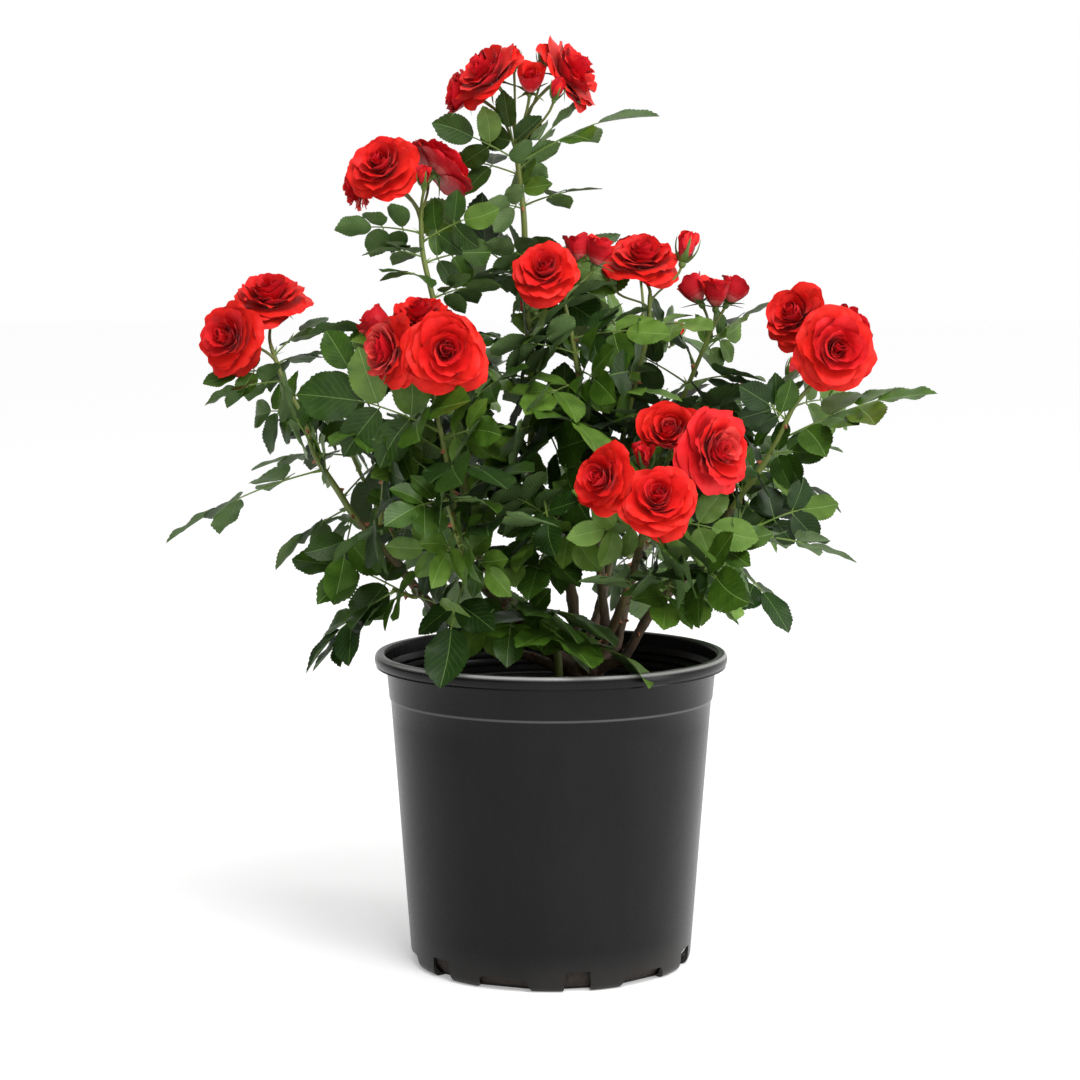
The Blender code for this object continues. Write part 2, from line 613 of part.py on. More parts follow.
def bloom(kind, middle, face, width):
    """A lobed rosette on its facing, from its foot ring up to its sunken heart."""
    rings = bloomRings[kind]
    sides = bloomSides[kind]
    side = across(face, Vector((0.3, 0.2, 1)))
    other = face.cross(side)
    foot = middle - face * (width * rings[-1][1] * 0.5)
    points = []
    for i, (radius, height) in enumerate(rings):
        lobe = 0.07 if i in (1, 2) and sides > 6 else 0.0
        for k in range(sides):
            angle = math.tau * (k + 0.5 * (i % 2)) / sides
            reach = width * radius * (1 + lobe * (1 if k % 2 else -1))
            rise = width * (height + (0.03 if k % 2 and lobe else 0.0))
            points.append(
                foot + side * (reach * math.cos(angle)) + other * (reach * math.sin(angle)) + face * rise
            )
    faces = [tuple(reversed(range(sides))), tuple(range(len(points) - sides, len(points)))]
    for i in range(len(rings) - 1):
        for k in range(sides):
            a, b = i * sides + k, i * sides + (k + 1) % sides
            c, d = a + sides, b + sides
            if i % 2:
                faces += [(a, b, d), (a, d, c)]
            else:
                faces += [(a, b, c), (b, d, c)]
    return points, faces, foot


def facing(bearing, rise):
    flat = math.cos(math.radians(rise))
    return Vector((
        flat * math.cos(math.radians(bearing)), flat * math.sin(math.radians(bearing)), math.sin(math.radians(rise)),
    ))


def stalkLine(start, ahead, foot, face):
    """A stalk that leaves along the stem and comes in behind the bloom."""
    span = (foot - start).length
    first = start + ahead * (stalkLead * span)
    last = foot - face * (stalkLead * span)
    end = foot + face * stalkSink
    line = []
    for i in range(stalkSteps + 1):
        s = i / stalkSteps
        a, b, c = start.lerp(first, s), first.lerp(last, s), last.lerp(end, s)
        line.append(a.lerp(b, s).lerp(b.lerp(c, s), s))
    return line


# Objects

def material(name, colour, roughness=0.5):
    made = bpy.data.materials.new(name)
    made.use_nodes = True
    shader = made.node_tree.nodes["Principled BSDF"]
    shader.inputs["Base Color"].default_value = (*colour, 1)
    shader.inputs["Roughness"].default_value = roughness
    return made


def meshObject(name, points, faces, look, smooth=True):
    mesh = bpy.data.meshes.new(name)
    mesh.from_pydata([tuple(p) for p in points], [], faces)
    mesh.materials.append(look)
    made = bpy.data.objects.new(name, mesh)
    bpy.context.scene.collection.objects.link(made)
    if smooth:
        mesh.shade_smooth()
    return made


def turned(name, profile, sides, look):
    """A profile of (radius, height) spun about Z. It starts and ends on the axis."""
    shape = bmesh.new()
    ring = [shape.verts.new((radius, 0, height)) for radius, height in profile]
    edges = [shape.edges.new(pair) for pair in zip(ring, ring[1:])]
    bmesh.ops.spin(shape, geom=ring + edges, axis=(0, 0, 1), cent=(0, 0, 0), steps=sides, angle=math.tau)
    bmesh.ops.remove_doubles(shape, verts=shape.verts, dist=0.00002)
    bmesh.ops.recalc_face_normals(shape, faces=shape.faces)
    mesh = bpy.data.meshes.new(name)
    shape.to_mesh(mesh)
    shape.free()
    mesh.materials.append(look)
    mesh.shade_smooth()
    mesh.set_sharp_from_angle(angle=math.radians(35))
    made = bpy.data.objects.new(name, mesh)
    bpy.context.scene.collection.objects.link(made)
    return made


def fuse(base, pieces, operation="UNION", solver="EXACT"):
    """One Boolean on a collection, applied. Inner shells and loose scraps are dropped."""
    group = bpy.data.collections.new(base.name + "_pieces")
    for piece in pieces:
        group.objects.link(piece)
    change = base.modifiers.new("Fuse", "BOOLEAN")
    change.operation = operation
    change.operand_type = "COLLECTION"
    change.collection = group
    change.solver = solver
    if solver == "EXACT":
        change.material_mode = "TRANSFER"
    graph = bpy.context.evaluated_depsgraph_get()
    fused = bpy.data.meshes.new_from_object(base.evaluated_get(graph))
    base.modifiers.clear()
    base.data = fused
    for piece in pieces:
        bpy.data.objects.remove(piece)
    bpy.data.collections.remove(group)
    keepLargest(fused)
    fused.name = base.name
    return base


def keepLargest(mesh):
    """Leaves only the connected shell that has the most faces."""
    shape = bmesh.new()
    shape.from_mesh(mesh)
    shells = []
    seen = set()
    for start in shape.faces:
        if start in seen:
            continue
        seen.add(start)
        shell = [start]
        for face in shell:
            for edge in face.edges:
                for beside in edge.link_faces:
                    if beside not in seen:
                        seen.add(beside)
                        shell.append(beside)
        shells.append(shell)
    shells.sort(key=len, reverse=True)
    spare = [face for shell in shells[1:] for face in shell]
    if spare:
        bmesh.ops.delete(shape, geom=spare, context="FACES")
    shape.to_mesh(mesh)
    shape.free()


# Clearance between pieces

class Clearance:
    """Remembers what stands where, so that a new leaf can be tested against it."""

    def __init__(self):
        self.taken = []

    def add(self, owner, kind, points, faces):
        tree = BVHTree.FromPolygons([tuple(p) for p in points], faces)
        low = Vector([min(p[i] for p in points) for i in range(3)])
        high = Vector([max(p[i] for p in points) for i in range(3)])
        self.taken.append((owner, kind, tree, low, high))

    def free(self, points, faces, ignore):
        tree = BVHTree.FromPolygons([tuple(p) for p in points], faces)
        low = [min(p[i] for p in points) for i in range(3)]
        high = [max(p[i] for p in points) for i in range(3)]
        for owner, kind, other, otherLow, otherHigh in self.taken:
            if (owner, kind) in ignore:
                continue
            if any(low[i] > otherHigh[i] or high[i] < otherLow[i] for i in range(3)):
                continue
            if tree.overlap(other):
                return False
        return True


# Pot, soil, stock and stub

def buildPot(look):
    t = wallThickness
    top = rimHeight
    profile = [
        (0.0, 0.0), (baseRadius, 0.0), (baseRadius + 0.0045, 0.0018), (wallFootRadius, cornerHeight),
        (wallTopRadius, bandFoot - 0.002), (bandFootRadius, bandFoot), (bandTopRadius, top - lipDepth),
        (rimRadius - 0.0015, top - lipDepth), (rimRadius, top - 0.006), (rimRadius - 0.0025, top),
        (mouthRadius + 0.0015, top - 0.0008), (mouthRadius - 0.0015, top - lipDepth),
        (bandFootRadius - t, bandFoot), (wallTopRadius - t, bandFoot - 0.004),
        (wallFootRadius - t, cornerHeight + 0.001), (baseRadius - 0.001, t), (0.0, t),
    ]
    pot = turned("pot", profile, potSides, look)
    cutters = []
    for k in range(notchesEach):
        for notch in (tallNotch, wideNotch):
            cutters.append(notchCutter(f"notch_{len(cutters)}", notch, k, look))
    return fuse(pot, cutters, "DIFFERENCE")


def notchCutter(name, notch, k, look):
    """A wedge through the pot's bottom corner: straight-sided where tall, arched where wide."""
    half = notch["width"] / 2
    high = notch["height"]
    if high > notch["width"] / 3:
        outline = [(-half, -0.01), (half, -0.01), (half * 0.8, high), (-half * 0.8, high)]
    else:
        outline = [(-half - 0.004, -0.01), (half + 0.004, -0.01)]
        outline += [(half * math.cos(a), high * math.sin(a)) for a in (0.0, 0.6, 1.2, 1.94, 2.54, math.pi)]
    inner, outer = wallFootRadius - notchDepth, wallFootRadius + 0.02
    points = [(radius, x, z) for radius in (inner, outer) for x, z in outline]
    count = len(outline)
    faces = [tuple(reversed(range(count))), tuple(range(count, 2 * count))]
    faces += [(i, (i + 1) % count, (i + 1) % count + count, i + count) for i in range(count)]
    turn = Matrix.Rotation(math.radians(notch["turn"] + 60 * k - 90), 3, "Z")
    return meshObject(name, [turn @ Vector(p) for p in points], faces, look, smooth=False)


def buildSoil(look):
    def innerRadius(height):
        share = (height - cornerHeight) / (bandFoot - cornerHeight)
        return wallFootRadius + (wallTopRadius - wallFootRadius) * share - wallThickness - seatGap

    low = soilFloor
    profile = [
        (0.0, low), (baseRadius - 0.004, low), (innerRadius(0.012) - 0.001, 0.012),
        (innerRadius(soilTop - 0.004), soilTop - 0.004), (0.095, soilTop - 0.001), (0.062, soilTop), (0.0, soilTop),
    ]
    return turned("soil", profile, 32, look)


def seat(cane):
    """Where a cane starts: the end of its stub on the stock, and the way that the stub points."""
    end = Vector(cane["way"][0])
    return end, (end - stockMiddle).normalized()


def buildStock(look):
    """A knobby stock with a flat foot on the soil and one short stub for each cane."""
    shape = bmesh.new()
    bmesh.ops.create_icosphere(shape, subdivisions=2, radius=1.0)
    for vert in shape.verts:
        knob = 1 + stockKnobs["depth"] * noise.noise(vert.co * stockKnobs["pitch"])
        vert.co = Vector([a * b * knob for a, b in zip(vert.co, stockRadii)]) + stockMiddle
    floor = soilTop + seatGap
    skirt = bmesh.new()
    bmesh.ops.create_cone(
        skirt, cap_ends=True, segments=12,
        radius1=stockFoot["radius"], radius2=stockFoot["top"], depth=stockFoot["height"],
    )
    middle = (stockMiddle.x, stockMiddle.y, floor + stockFoot["height"] / 2)
    bmesh.ops.translate(skirt, verts=skirt.verts, vec=middle)
    mesh = bpy.data.meshes.new("root_stock")
    skirt.to_mesh(mesh)
    skirt.free()
    mesh.materials.append(look)
    stock = bpy.data.objects.new("root_stock", mesh)
    bpy.context.scene.collection.objects.link(stock)
    lump = bpy.data.meshes.new("stock_lump")
    shape.to_mesh(lump)
    shape.free()
    lump.materials.append(look)
    pieces = [bpy.data.objects.new("stock_lump", lump)]
    bpy.context.scene.collection.objects.link(pieces[0])
    for name, cane in canes.items():
        end, ahead = seat(cane)
        foot = cane["radii"][0]
        line = [stockMiddle.copy(), end]
        radii = (foot * stubFlare[0], foot * stubFlare[1])
        pieces.append(meshObject(name + "_stub", *tube(line, radii, caneSides), look))
    made = fuse(stock, pieces)
    made.data.shade_smooth()
    made.data.set_sharp_from_angle(angle=math.radians(45))
    return made


def ledWay(start, ahead, points, count):
    """A smooth way whose first step is straight, so that its flat foot stays square to its seat."""
    lead = start + ahead * leadLength
    return [start] + smoothWay([lead, lead + ahead * leadLength] + points, count - 1)


def caneLine(cane):
    end, ahead = seat(cane)
    return ledWay(end + ahead * seatGap, ahead, cane["way"][1:], caneSteps)


# Shoots

def shootStart(shoot, lines, limbRadii):
    """The stem's first point and direction, and the spur that carries it, if it isn't at a tip."""
    name, share = shoot["on"]
    place, ahead = spot(lines[name], share)
    if share >= 1.0:
        ahead = (lines[name][-1] - lines[name][-2]).normalized()
        return lines[name][-1] + ahead * seatGap, ahead, None
    radius = limbRadii[name][0] + (limbRadii[name][1] - limbRadii[name][0]) * share
    away = across(ahead, Vector(shoot["way"][0]) - place)
    away = (away + ahead * 0.5).normalized()
    end = place + away * (radius + spurLength)
    spur = tube([place, end], (shoot["radii"][0] * spurFlare[0], shoot["radii"][0] * spurFlare[1]), 5)
    return end + away * seatGap, away, spur


def leafTries(foot, tip):
    """The leaf as wanted, then a few turned, shorter, raised and lowered ones."""
    reach = tip - foot
    yield tip
    for turn, share in leafTurns:
        yield foot + (Matrix.Rotation(math.radians(turn), 3, "Z") @ reach) * share
    for lift in leafLifts:
        yield foot + reach * 0.9 + up * (lift * reach.length)


def growLeaf(name, foot, tip, leaflets, roll, seed, space, steady):
    """The first try that is clear of everything but the stem that it grows from, or None."""
    own = {(name, "stem"), (name, "stalk")}
    if steady:
        ends = [tip + Vector((0, shift, 0)) for shift in steadyShifts]
    else:
        ends = leafTries(foot, tip)
    for end in ends:
        start = foot.lerp(end, 0.10)
        if not space.free(*leafBody(start, end, leaflets, roll, random.Random(seed), leafSpare), set()):
            continue
        if not space.free(*leafBody(foot, end, leaflets, roll, random.Random(seed), leafSpare), own):
            continue
        leaf = leafBody(foot, end, leaflets, roll, random.Random(seed))
        space.add(name, "leaf", *leaf)
        return leaf
    return None


def ruledLeaves(shoot, line):
    """Leaves that follow one another round the stem by the same turn."""
    rng = random.Random(shoot["seed"])
    turn = rng.uniform(0, math.tau)
    low, high = shoot["span"]
    for k in range(shoot["leaves"]):
        share = low + (high - low) * (k + 0.5) / shoot["leaves"]
        place, ahead = spot(line, share)
        side = across(ahead, Vector((1, 0, 0)))
        other = ahead.cross(side)
        away = side * math.cos(turn) + other * math.sin(turn)
        reach = rng.uniform(*leafReach)
        aim = (away * 0.86 + ahead * 0.5).normalized() * reach
        tip = place + aim - up * (reach * rng.uniform(0.05, 0.30))
        leaflets = 5 if rng.random() < fiveShare else 3
        yield place, tip, leaflets, rng.uniform(-12, 12), rng.randrange(10**6)
        turn += turnPerLeaf


def buildAll():
    potLook = material("pot_plastic", (0.012, 0.012, 0.013), 0.38)
    soilLook = material("soil_mulch", (0.030, 0.019, 0.012), 0.95)
    barkLook = material("rose_bark", (0.110, 0.070, 0.035), 0.75)
    stemLook = material("rose_stem", (0.120, 0.170, 0.045), 0.5)
    leafLook = material("rose_leaf", (0.035, 0.105, 0.022), 0.42)
    petalLook = material("rose_petal", (0.780, 0.030, 0.016), 0.5)
    plant = bpy.data.objects.new("potted_rose", None)
    bpy.context.scene.collection.objects.link(plant)

    space = Clearance()
    pot = buildPot(potLook)
    soil = buildSoil(soilLook)
    stock = buildStock(barkLook)
    nodes = [pot, soil, stock]
    for made in nodes:
        points = [vert.co.copy() for vert in made.data.vertices]
        space.add(made.name, "body", points, [tuple(face.vertices) for face in made.data.polygons])

    lines = {name: caneLine(cane) for name, cane in canes.items()}
    limbRadii = {name: cane["radii"] for name, cane in canes.items()}
    lines["cut_stub"] = smoothWay([Vector(stub["way"][0]) + up * seatGap] + stub["way"][1:], 8)
    limbRadii["cut_stub"] = stub["radii"]
    starts = {name: shootStart(shoot, lines, limbRadii) for name, shoot in shoots.items()}

    for name, line in lines.items():
        look = stemLook if name == "cut_stub" else barkLook
        points, faces = tube(line, limbRadii[name], caneSides)
        space.add(name, "body", points, faces)
        limb = meshObject(name, points, faces, look)
        spurs = []
        for shootName, shoot in shoots.items():
            spur = starts[shootName][2]
            if shoot["on"][0] == name and spur:
                space.add(name, "body", *spur)
                spurs.append(meshObject(shootName + "_spur", *spur, look))
        if spurs:
            fuse(limb, spurs)
        limb.data.shade_smooth()
        limb.data.set_sharp_from_angle(angle=math.radians(50))
        nodes.append(limb)

    parts = {name: [] for name in shoots}
    stems = {}
    for name, shoot in shoots.items():
        start, ahead, _ = starts[name]
        stems[name] = ledWay(start, ahead, shoot["way"], stemSteps)
        stem = tube(stems[name], shoot["radii"], stemSides)
        space.add(name, "stem", *stem)
        parts[name].append((stem, stemLook))
    for name, shoot in shoots.items():
        for kind, middle, bearing, rise, width, share in shoot["blooms"]:
            face = facing(bearing, rise)
            points, faces, foot = bloom(kind, Vector(middle), face, width)
            start, ahead = spot(stems[name], share)
            line = stalkLine(start, ahead, foot, face)
            stalk = tube(line, (stalkRadius[kind] * 1.15, stalkRadius[kind]), 3)
            space.add(name, "bloom", points, faces)
            space.add(name, "stalk", *stalk)
            parts[name] += [((points, faces), petalLook), (stalk, stemLook)]
    for name, shoot in shoots.items():
        for k, (share, tip, leaflets, roll) in enumerate(shoot["sprays"]):
            foot, _ = spot(stems[name], share)
            made = growLeaf(name, foot, Vector(tip), leaflets, roll, shoot["seed"] * 100 + k, space, True)
            if made:
                parts[name].append((made, leafLook))
    for name, shoot in shoots.items():
        for foot, tip, leaflets, roll, seed in ruledLeaves(shoot, stems[name]):
            made = growLeaf(name, foot, tip, leaflets, roll, seed, space, False)
            if made:
                parts[name].append((made, leafLook))

    for name in shoots:
        (points, faces), look = parts[name][0]
        base = meshObject(name, points, faces, look)
        pieces = [
            meshObject(f"{name}_{k}", *piece, look) for k, (piece, look) in enumerate(parts[name][1:])
        ]
        fuse(base, pieces)
        nodes.append(base)
    for node in nodes:
        node.parent = plant


for old in list(bpy.data.objects):
    bpy.data.objects.remove(old)
buildAll()
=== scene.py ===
import json
import math
import random

import bmesh
import bpy
import numpy as np
from mathutils import Matrix, Vector, noise

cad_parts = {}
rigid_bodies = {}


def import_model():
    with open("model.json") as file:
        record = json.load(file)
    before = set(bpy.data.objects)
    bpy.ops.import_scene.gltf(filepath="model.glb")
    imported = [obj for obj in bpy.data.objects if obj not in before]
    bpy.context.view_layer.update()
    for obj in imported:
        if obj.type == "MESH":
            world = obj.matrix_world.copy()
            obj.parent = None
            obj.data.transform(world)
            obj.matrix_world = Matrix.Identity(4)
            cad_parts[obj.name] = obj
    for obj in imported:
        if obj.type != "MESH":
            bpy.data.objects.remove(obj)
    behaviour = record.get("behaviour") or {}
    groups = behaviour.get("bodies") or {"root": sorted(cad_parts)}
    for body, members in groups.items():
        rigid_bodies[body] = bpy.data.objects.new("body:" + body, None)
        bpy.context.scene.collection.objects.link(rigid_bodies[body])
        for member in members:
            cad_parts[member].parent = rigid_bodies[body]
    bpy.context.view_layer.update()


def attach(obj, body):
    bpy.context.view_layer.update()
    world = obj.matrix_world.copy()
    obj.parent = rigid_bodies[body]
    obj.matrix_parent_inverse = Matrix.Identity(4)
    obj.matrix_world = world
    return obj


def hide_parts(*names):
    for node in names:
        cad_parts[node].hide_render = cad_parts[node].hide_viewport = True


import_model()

up = Vector((0, 0, 1))
turnPerLeaf = math.radians(137.5)  # from one leaf or petal to the next, round its stem
mostTriangles = 190000  # in one joined piece
seatGap = 0.0003  # between a piece and what it stands on or in
wayFineness = 12  # steps between two points of a way


# Colours are given as they look on a screen, 0 to 255
def tone(red, green, blue):
    shares = [value / 255 for value in (red, green, blue)]
    return tuple(s / 12.92 if s <= 0.04045 else ((s + 0.055) / 1.055) ** 2.4 for s in shares) + (1.0,)


def blend(pair, share):
    return pair[0] + (pair[1] - pair[0]) * share


# Ways through points
def smoothWay(points, count):
    knots = [Vector(p) for p in points]
    fine = []
    for i in range(len(knots) - 1):
        a, b = knots[i], knots[i + 1]
        before = knots[i - 1] if i else a - (b - a)
        after = knots[i + 2] if i + 2 < len(knots) else b + (b - a)
        span = (b - a).length
        leave = (b - before) * (span / ((a - before).length + span))
        arrive = (after - a) * (span / ((after - b).length + span))
        for k in range(wayFineness):
            s = k / wayFineness
            fine.append(
                a * (2 * s**3 - 3 * s**2 + 1) + leave * (s**3 - 2 * s**2 + s)
                + b * (3 * s**2 - 2 * s**3) + arrive * (s**3 - s**2)
            )
    fine.append(knots[-1])
    lengths = [0.0]
    for a, b in zip(fine, fine[1:]):
        lengths.append(lengths[-1] + (b - a).length)
    out = []
    k = 0
    for i in range(count):
        want = lengths[-1] * i / (count - 1)
        while k < len(lengths) - 2 and lengths[k + 1] < want:
            k += 1
        share = (want - lengths[k]) / (lengths[k + 1] - lengths[k])
        out.append(fine[k].lerp(fine[k + 1], min(share, 1.0)))
    return out


def spot(line, share):
    place = min(max(share, 0.0), 1.0) * (len(line) - 1)
    k = min(int(place), len(line) - 2)
    before, after = line[max(k - 1, 0)], line[min(k + 2, len(line) - 1)]
    return line[k].lerp(line[k + 1], place - k), (after - before).normalized()


def across(direction, hint=up):
    flat = hint - direction * hint.dot(direction)
    if flat.length < 1e-4:
        flat = direction.orthogonal()
    return flat.normalized()


def facing(bearing, rise):
    flat = math.cos(math.radians(rise))
    bearing = math.radians(bearing)
    return Vector((flat * math.cos(bearing), flat * math.sin(bearing), math.sin(math.radians(rise))))


def lengthOf(line):
    return sum((b - a).length for a, b in zip(line, line[1:]))


# Small shapes as arrays, and the heaps that join many copies of them into one mesh
def arraysOf(shape, layer=None):
    bmesh.ops.triangulate(shape, faces=shape.faces)
    shape.verts.index_update()
    held = shape.verts.layers.float_vector.get(layer) if layer else None
    made = {
        "points": np.array([vert.co[:] for vert in shape.verts]),
        "faces": np.array([[vert.index for vert in face.verts] for face in shape.faces]),
        "slots": np.array([face.material_index for face in shape.faces]),
        "spots": np.array([vert[held][:] if held else (0.0, 0.0, 0.0) for vert in shape.verts]),
    }
    shape.free()
    return made


def joined(shapes):
    start = 0
    faces = []
    for shape in shapes:
        faces.append(shape["faces"] + start)
        start += len(shape["points"])
    made = {key: np.concatenate([shape[key] for shape in shapes]) for key in ("points", "slots", "spots")}
    return {**made, "faces": np.concatenate(faces)}


# A copy turned to three axes, sized and set at a place
def placed(shape, axes, place, size=1.0):
    turn = np.array(Matrix(axes).transposed()) * size
    return {**shape, "points": shape["points"] @ turn.T + np.array(place)}


def recoloured(shape, swaps):
    slots = shape["slots"].copy()
    for old, new in swaps.items():
        slots[shape["slots"] == old] = new
    return {**shape, "slots": slots}


class Heap:
    def __init__(self, name, looks, slotName, nodes, sharp=50):
        self.name, self.looks, self.slotName, self.nodes, self.sharp = name, looks, slotName, nodes, sharp
        self.shapes = []

    def add(self, shape):
        self.shapes.append(shape)

    def make(self):
        lots, held = [[]], 0
        for shape in self.shapes:
            if held + len(shape["faces"]) > mostTriangles:
                lots.append([])
                held = 0
            lots[-1].append(shape)
            held += len(shape["faces"])
        for k, lot in enumerate(lots):
            whole = joined(lot)
            name = f"{self.name}_{k + 1}" if len(lots) > 1 else self.name
            mesh = bpy.data.meshes.new(name)
            mesh.from_pydata(whole["points"], [], whole["faces"])
            piece = addPiece(name, mesh, self.looks, self.sharp)
            mesh.polygons.foreach_set("material_index", whole["slots"].astype(np.int32))
            spots = mesh.attributes.new("spot", "FLOAT_VECTOR", "POINT")
            spots.data.foreach_set("vector", whole["spots"].astype(np.float32).ravel())
            finish(piece, self.slotName, self.nodes)
            print(name, len(whole["faces"]), "triangles")


def finish(piece, slotName, nodes):
    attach(piece, "root")
    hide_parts(*nodes)


def addPiece(name, mesh, looks, sharp):
    for look in looks:
        mesh.materials.append(look)
    mesh.shade_smooth()
    mesh.set_sharp_from_angle(angle=math.radians(sharp))
    piece = bpy.data.objects.new(name, mesh)
    bpy.context.scene.collection.objects.link(piece)
    return piece


def meshPiece(name, shape, looks, sharp=35):
    mesh = bpy.data.meshes.new(name)
    shape.to_mesh(mesh)
    shape.free()
    return addPiece(name, mesh, looks, sharp)


# The piece's modifiers become its mesh
def settle(piece):
    graph = bpy.context.evaluated_depsgraph_get()
    mesh = bpy.data.meshes.new_from_object(piece.evaluated_get(graph))
    piece.modifiers.clear()
    piece.data = mesh
    mesh.name = piece.name
    return mesh


def ofKind(items, kind):
    return [item for item in items if isinstance(item, kind)]


# Every face that uses some of these vertices
def facesOf(verts):
    return list({face for vert in verts for face in vert.link_faces})


# A round rod along +Z, from 0 to 1, that sweep() lays along a way
def rodShape(sides, steps):
    shape = bmesh.new()
    ring = bmesh.ops.create_circle(shape, cap_ends=True, segments=sides, radius=1.0)["verts"]
    face = ring[0].link_faces[0]
    face.normal_flip()
    top = bmesh.ops.duplicate(shape, geom=[face])["geom"]
    edges = ofKind(top, bmesh.types.BMEdge)
    bmesh.ops.delete(shape, geom=ofKind(top, bmesh.types.BMFace), context="FACES_ONLY")
    for _ in range(steps):
        grown = bmesh.ops.extrude_edge_only(shape, edges=edges)["geom"]
        edges = ofKind(grown, bmesh.types.BMEdge)
        bmesh.ops.translate(shape, verts=ofKind(grown, bmesh.types.BMVert), vec=(0, 0, 1 / steps))
    bmesh.ops.contextual_create(shape, geom=edges)
    bmesh.ops.remove_doubles(shape, verts=shape.verts, dist=1e-5)
    bmesh.ops.recalc_face_normals(shape, faces=shape.faces)
    return arraysOf(shape)


rods = {}


def sweep(line, radiusAt, sides, slot=0):
    steps = len(line) - 1
    if (sides, steps) not in rods:
        rods[sides, steps] = rodShape(sides, steps)
    rod = rods[sides, steps]
    middles = np.array([p[:] for p in line])
    side = across((line[1] - line[0]).normalized(), Vector((1, 0.2, 0)))
    sideways, others, radii = [], [], []
    for i in range(len(line)):
        ahead = (line[min(i + 1, steps)] - line[max(i - 1, 0)]).normalized()
        side = across(ahead, side)
        sideways.append(side[:])
        others.append(ahead.cross(side)[:])
        radii.append(radiusAt(i / steps))
    level = np.rint(rod["points"][:, 2] * steps).astype(int)
    radius = np.array(radii)[level][:, None]
    x, y = rod["points"][:, 0:1] * radius, rod["points"][:, 1:2] * radius
    points = middles[level] + np.array(sideways)[level] * x + np.array(others)[level] * y
    return {**rod, "points": points, "slots": np.full(len(rod["faces"]), slot)}


# Nodes: values and links are given by the input that they go to
def fill(tree, node, inputs):
    for key, value in inputs.items():
        if isinstance(value, bpy.types.NodeSocket):
            tree.links.new(value, node.inputs[key])
        else:
            node.inputs[key].default_value = value
    return node


def addNode(tree, kind, inputs, **settings):
    node = tree.nodes.new(kind)
    for key, value in settings.items():
        setattr(node, key, value)
    return fill(tree, node, inputs)


def maths(tree, operation, *values, clamp=False):
    node = addNode(tree, "ShaderNodeMath", dict(enumerate(values)), operation=operation, use_clamp=clamp)
    return node.outputs[0]


# A value carried from one span to another, and held to it
def ranged(tree, value, low, high, toLow=0.0, toHigh=1.0):
    inputs = {"Value": value, "From Min": low, "From Max": high, "To Min": toLow, "To Max": toHigh}
    return addNode(tree, "ShaderNodeMapRange", inputs).outputs["Result"]


def mixedColours(tree, share, first, second):
    return addNode(tree, "ShaderNodeMix", {"Factor": share, 6: first, 7: second}, data_type="RGBA").outputs[2]


def mixedValues(tree, share, first, second):
    return addNode(tree, "ShaderNodeMix", {0: share, 2: first, 3: second}).outputs[0]


def noiseMask(tree, place, scale, detail, rough=0.5):
    inputs = {"Vector": place, "Scale": scale, "Detail": detail, "Roughness": rough}
    return addNode(tree, "ShaderNodeTexNoise", inputs).outputs["Fac"]


def objectPlace(tree):
    return addNode(tree, "ShaderNodeTexCoord", {}).outputs["Object"]


def newGroup(name, inputs, outputs):
    tree = bpy.data.node_groups.new(name, "ShaderNodeTree")
    for label, kind, value in inputs:
        socket = tree.interface.new_socket(label, in_out="INPUT", socket_type=kind)
        socket.default_value = value
    for label, kind in outputs:
        tree.interface.new_socket(label, in_out="OUTPUT", socket_type=kind)
    given, out = tree.nodes.new("NodeGroupInput"), tree.nodes.new("NodeGroupOutput")
    return tree, given.outputs, out


def useGroup(tree, group, values):
    node = tree.nodes.new("ShaderNodeGroup")
    node.node_tree = group
    return fill(tree, node, values).outputs


def newMaterial(name, **sockets):
    made = bpy.data.materials.new(name)
    made.use_nodes = True
    shader = made.node_tree.nodes["Principled BSDF"]
    for key, value in sockets.items():
        shader.inputs[key.replace("_", " ")].default_value = value
    return made, made.node_tree, shader


# The three sockets that every finish here drives; depth is the relief's height in metres
def dress(tree, shader, colour, rough, height, relief, depth):
    bump = addNode(tree, "ShaderNodeBump", {"Strength": relief, "Distance": depth, "Height": height})
    fill(tree, shader, {"Base Color": colour, "Roughness": rough, "Normal": bump.outputs["Normal"]})


# Soft blotches and a finer grain: colour between two tones, a rough share and a height
mottleForm = {
    "blotches": (3.0, 0.55), "grains": (2.0, 0.6),  # detail and roughness of each noise
    "wide": (0.32, 0.68), "fine": (0.3, 0.7), "grainShare": 0.3,
}


def makeMottle():
    colour, number = "NodeSocketColor", "NodeSocketFloat"
    tree, given, out = newGroup(
        "mottle",
        [("Dark", colour, (0, 0, 0, 1)), ("Light", colour, (1, 1, 1, 1)), ("Scale", number, 60.0),
         ("Grain", number, 600.0), ("Stretch", "NodeSocketVector", (1, 1, 1)),
         ("Rough low", number, 0.4), ("Rough high", number, 0.5)],
        [("Color", colour), ("Roughness", number), ("Height", number)],
    )
    stretched = addNode(tree, "ShaderNodeVectorMath", {0: objectPlace(tree), 1: given["Stretch"]},
                        operation="MULTIPLY").outputs[0]
    blotches = noiseMask(tree, stretched, given["Scale"], *mottleForm["blotches"])
    grain = noiseMask(tree, stretched, given["Grain"], *mottleForm["grains"])
    both = mixedValues(tree, mottleForm["grainShare"], ranged(tree, blotches, *mottleForm["wide"]), grain)
    rough = ranged(tree, grain, *mottleForm["fine"], given["Rough low"], given["Rough high"])
    fill(tree, out, {"Color": mixedColours(tree, both, given["Dark"], given["Light"]), "Roughness": rough,
                     "Height": both})
    return tree


mottle = makeMottle()


def useMottle(tree, tones, scale, grain, rough, stretch=(1, 1, 1)):
    return useGroup(tree, mottle, {
        "Dark": tone(*tones[0]), "Light": tone(*tones[1]), "Scale": scale, "Grain": grain,
        "Rough low": rough[0], "Rough high": rough[1], "Stretch": stretch,
    })


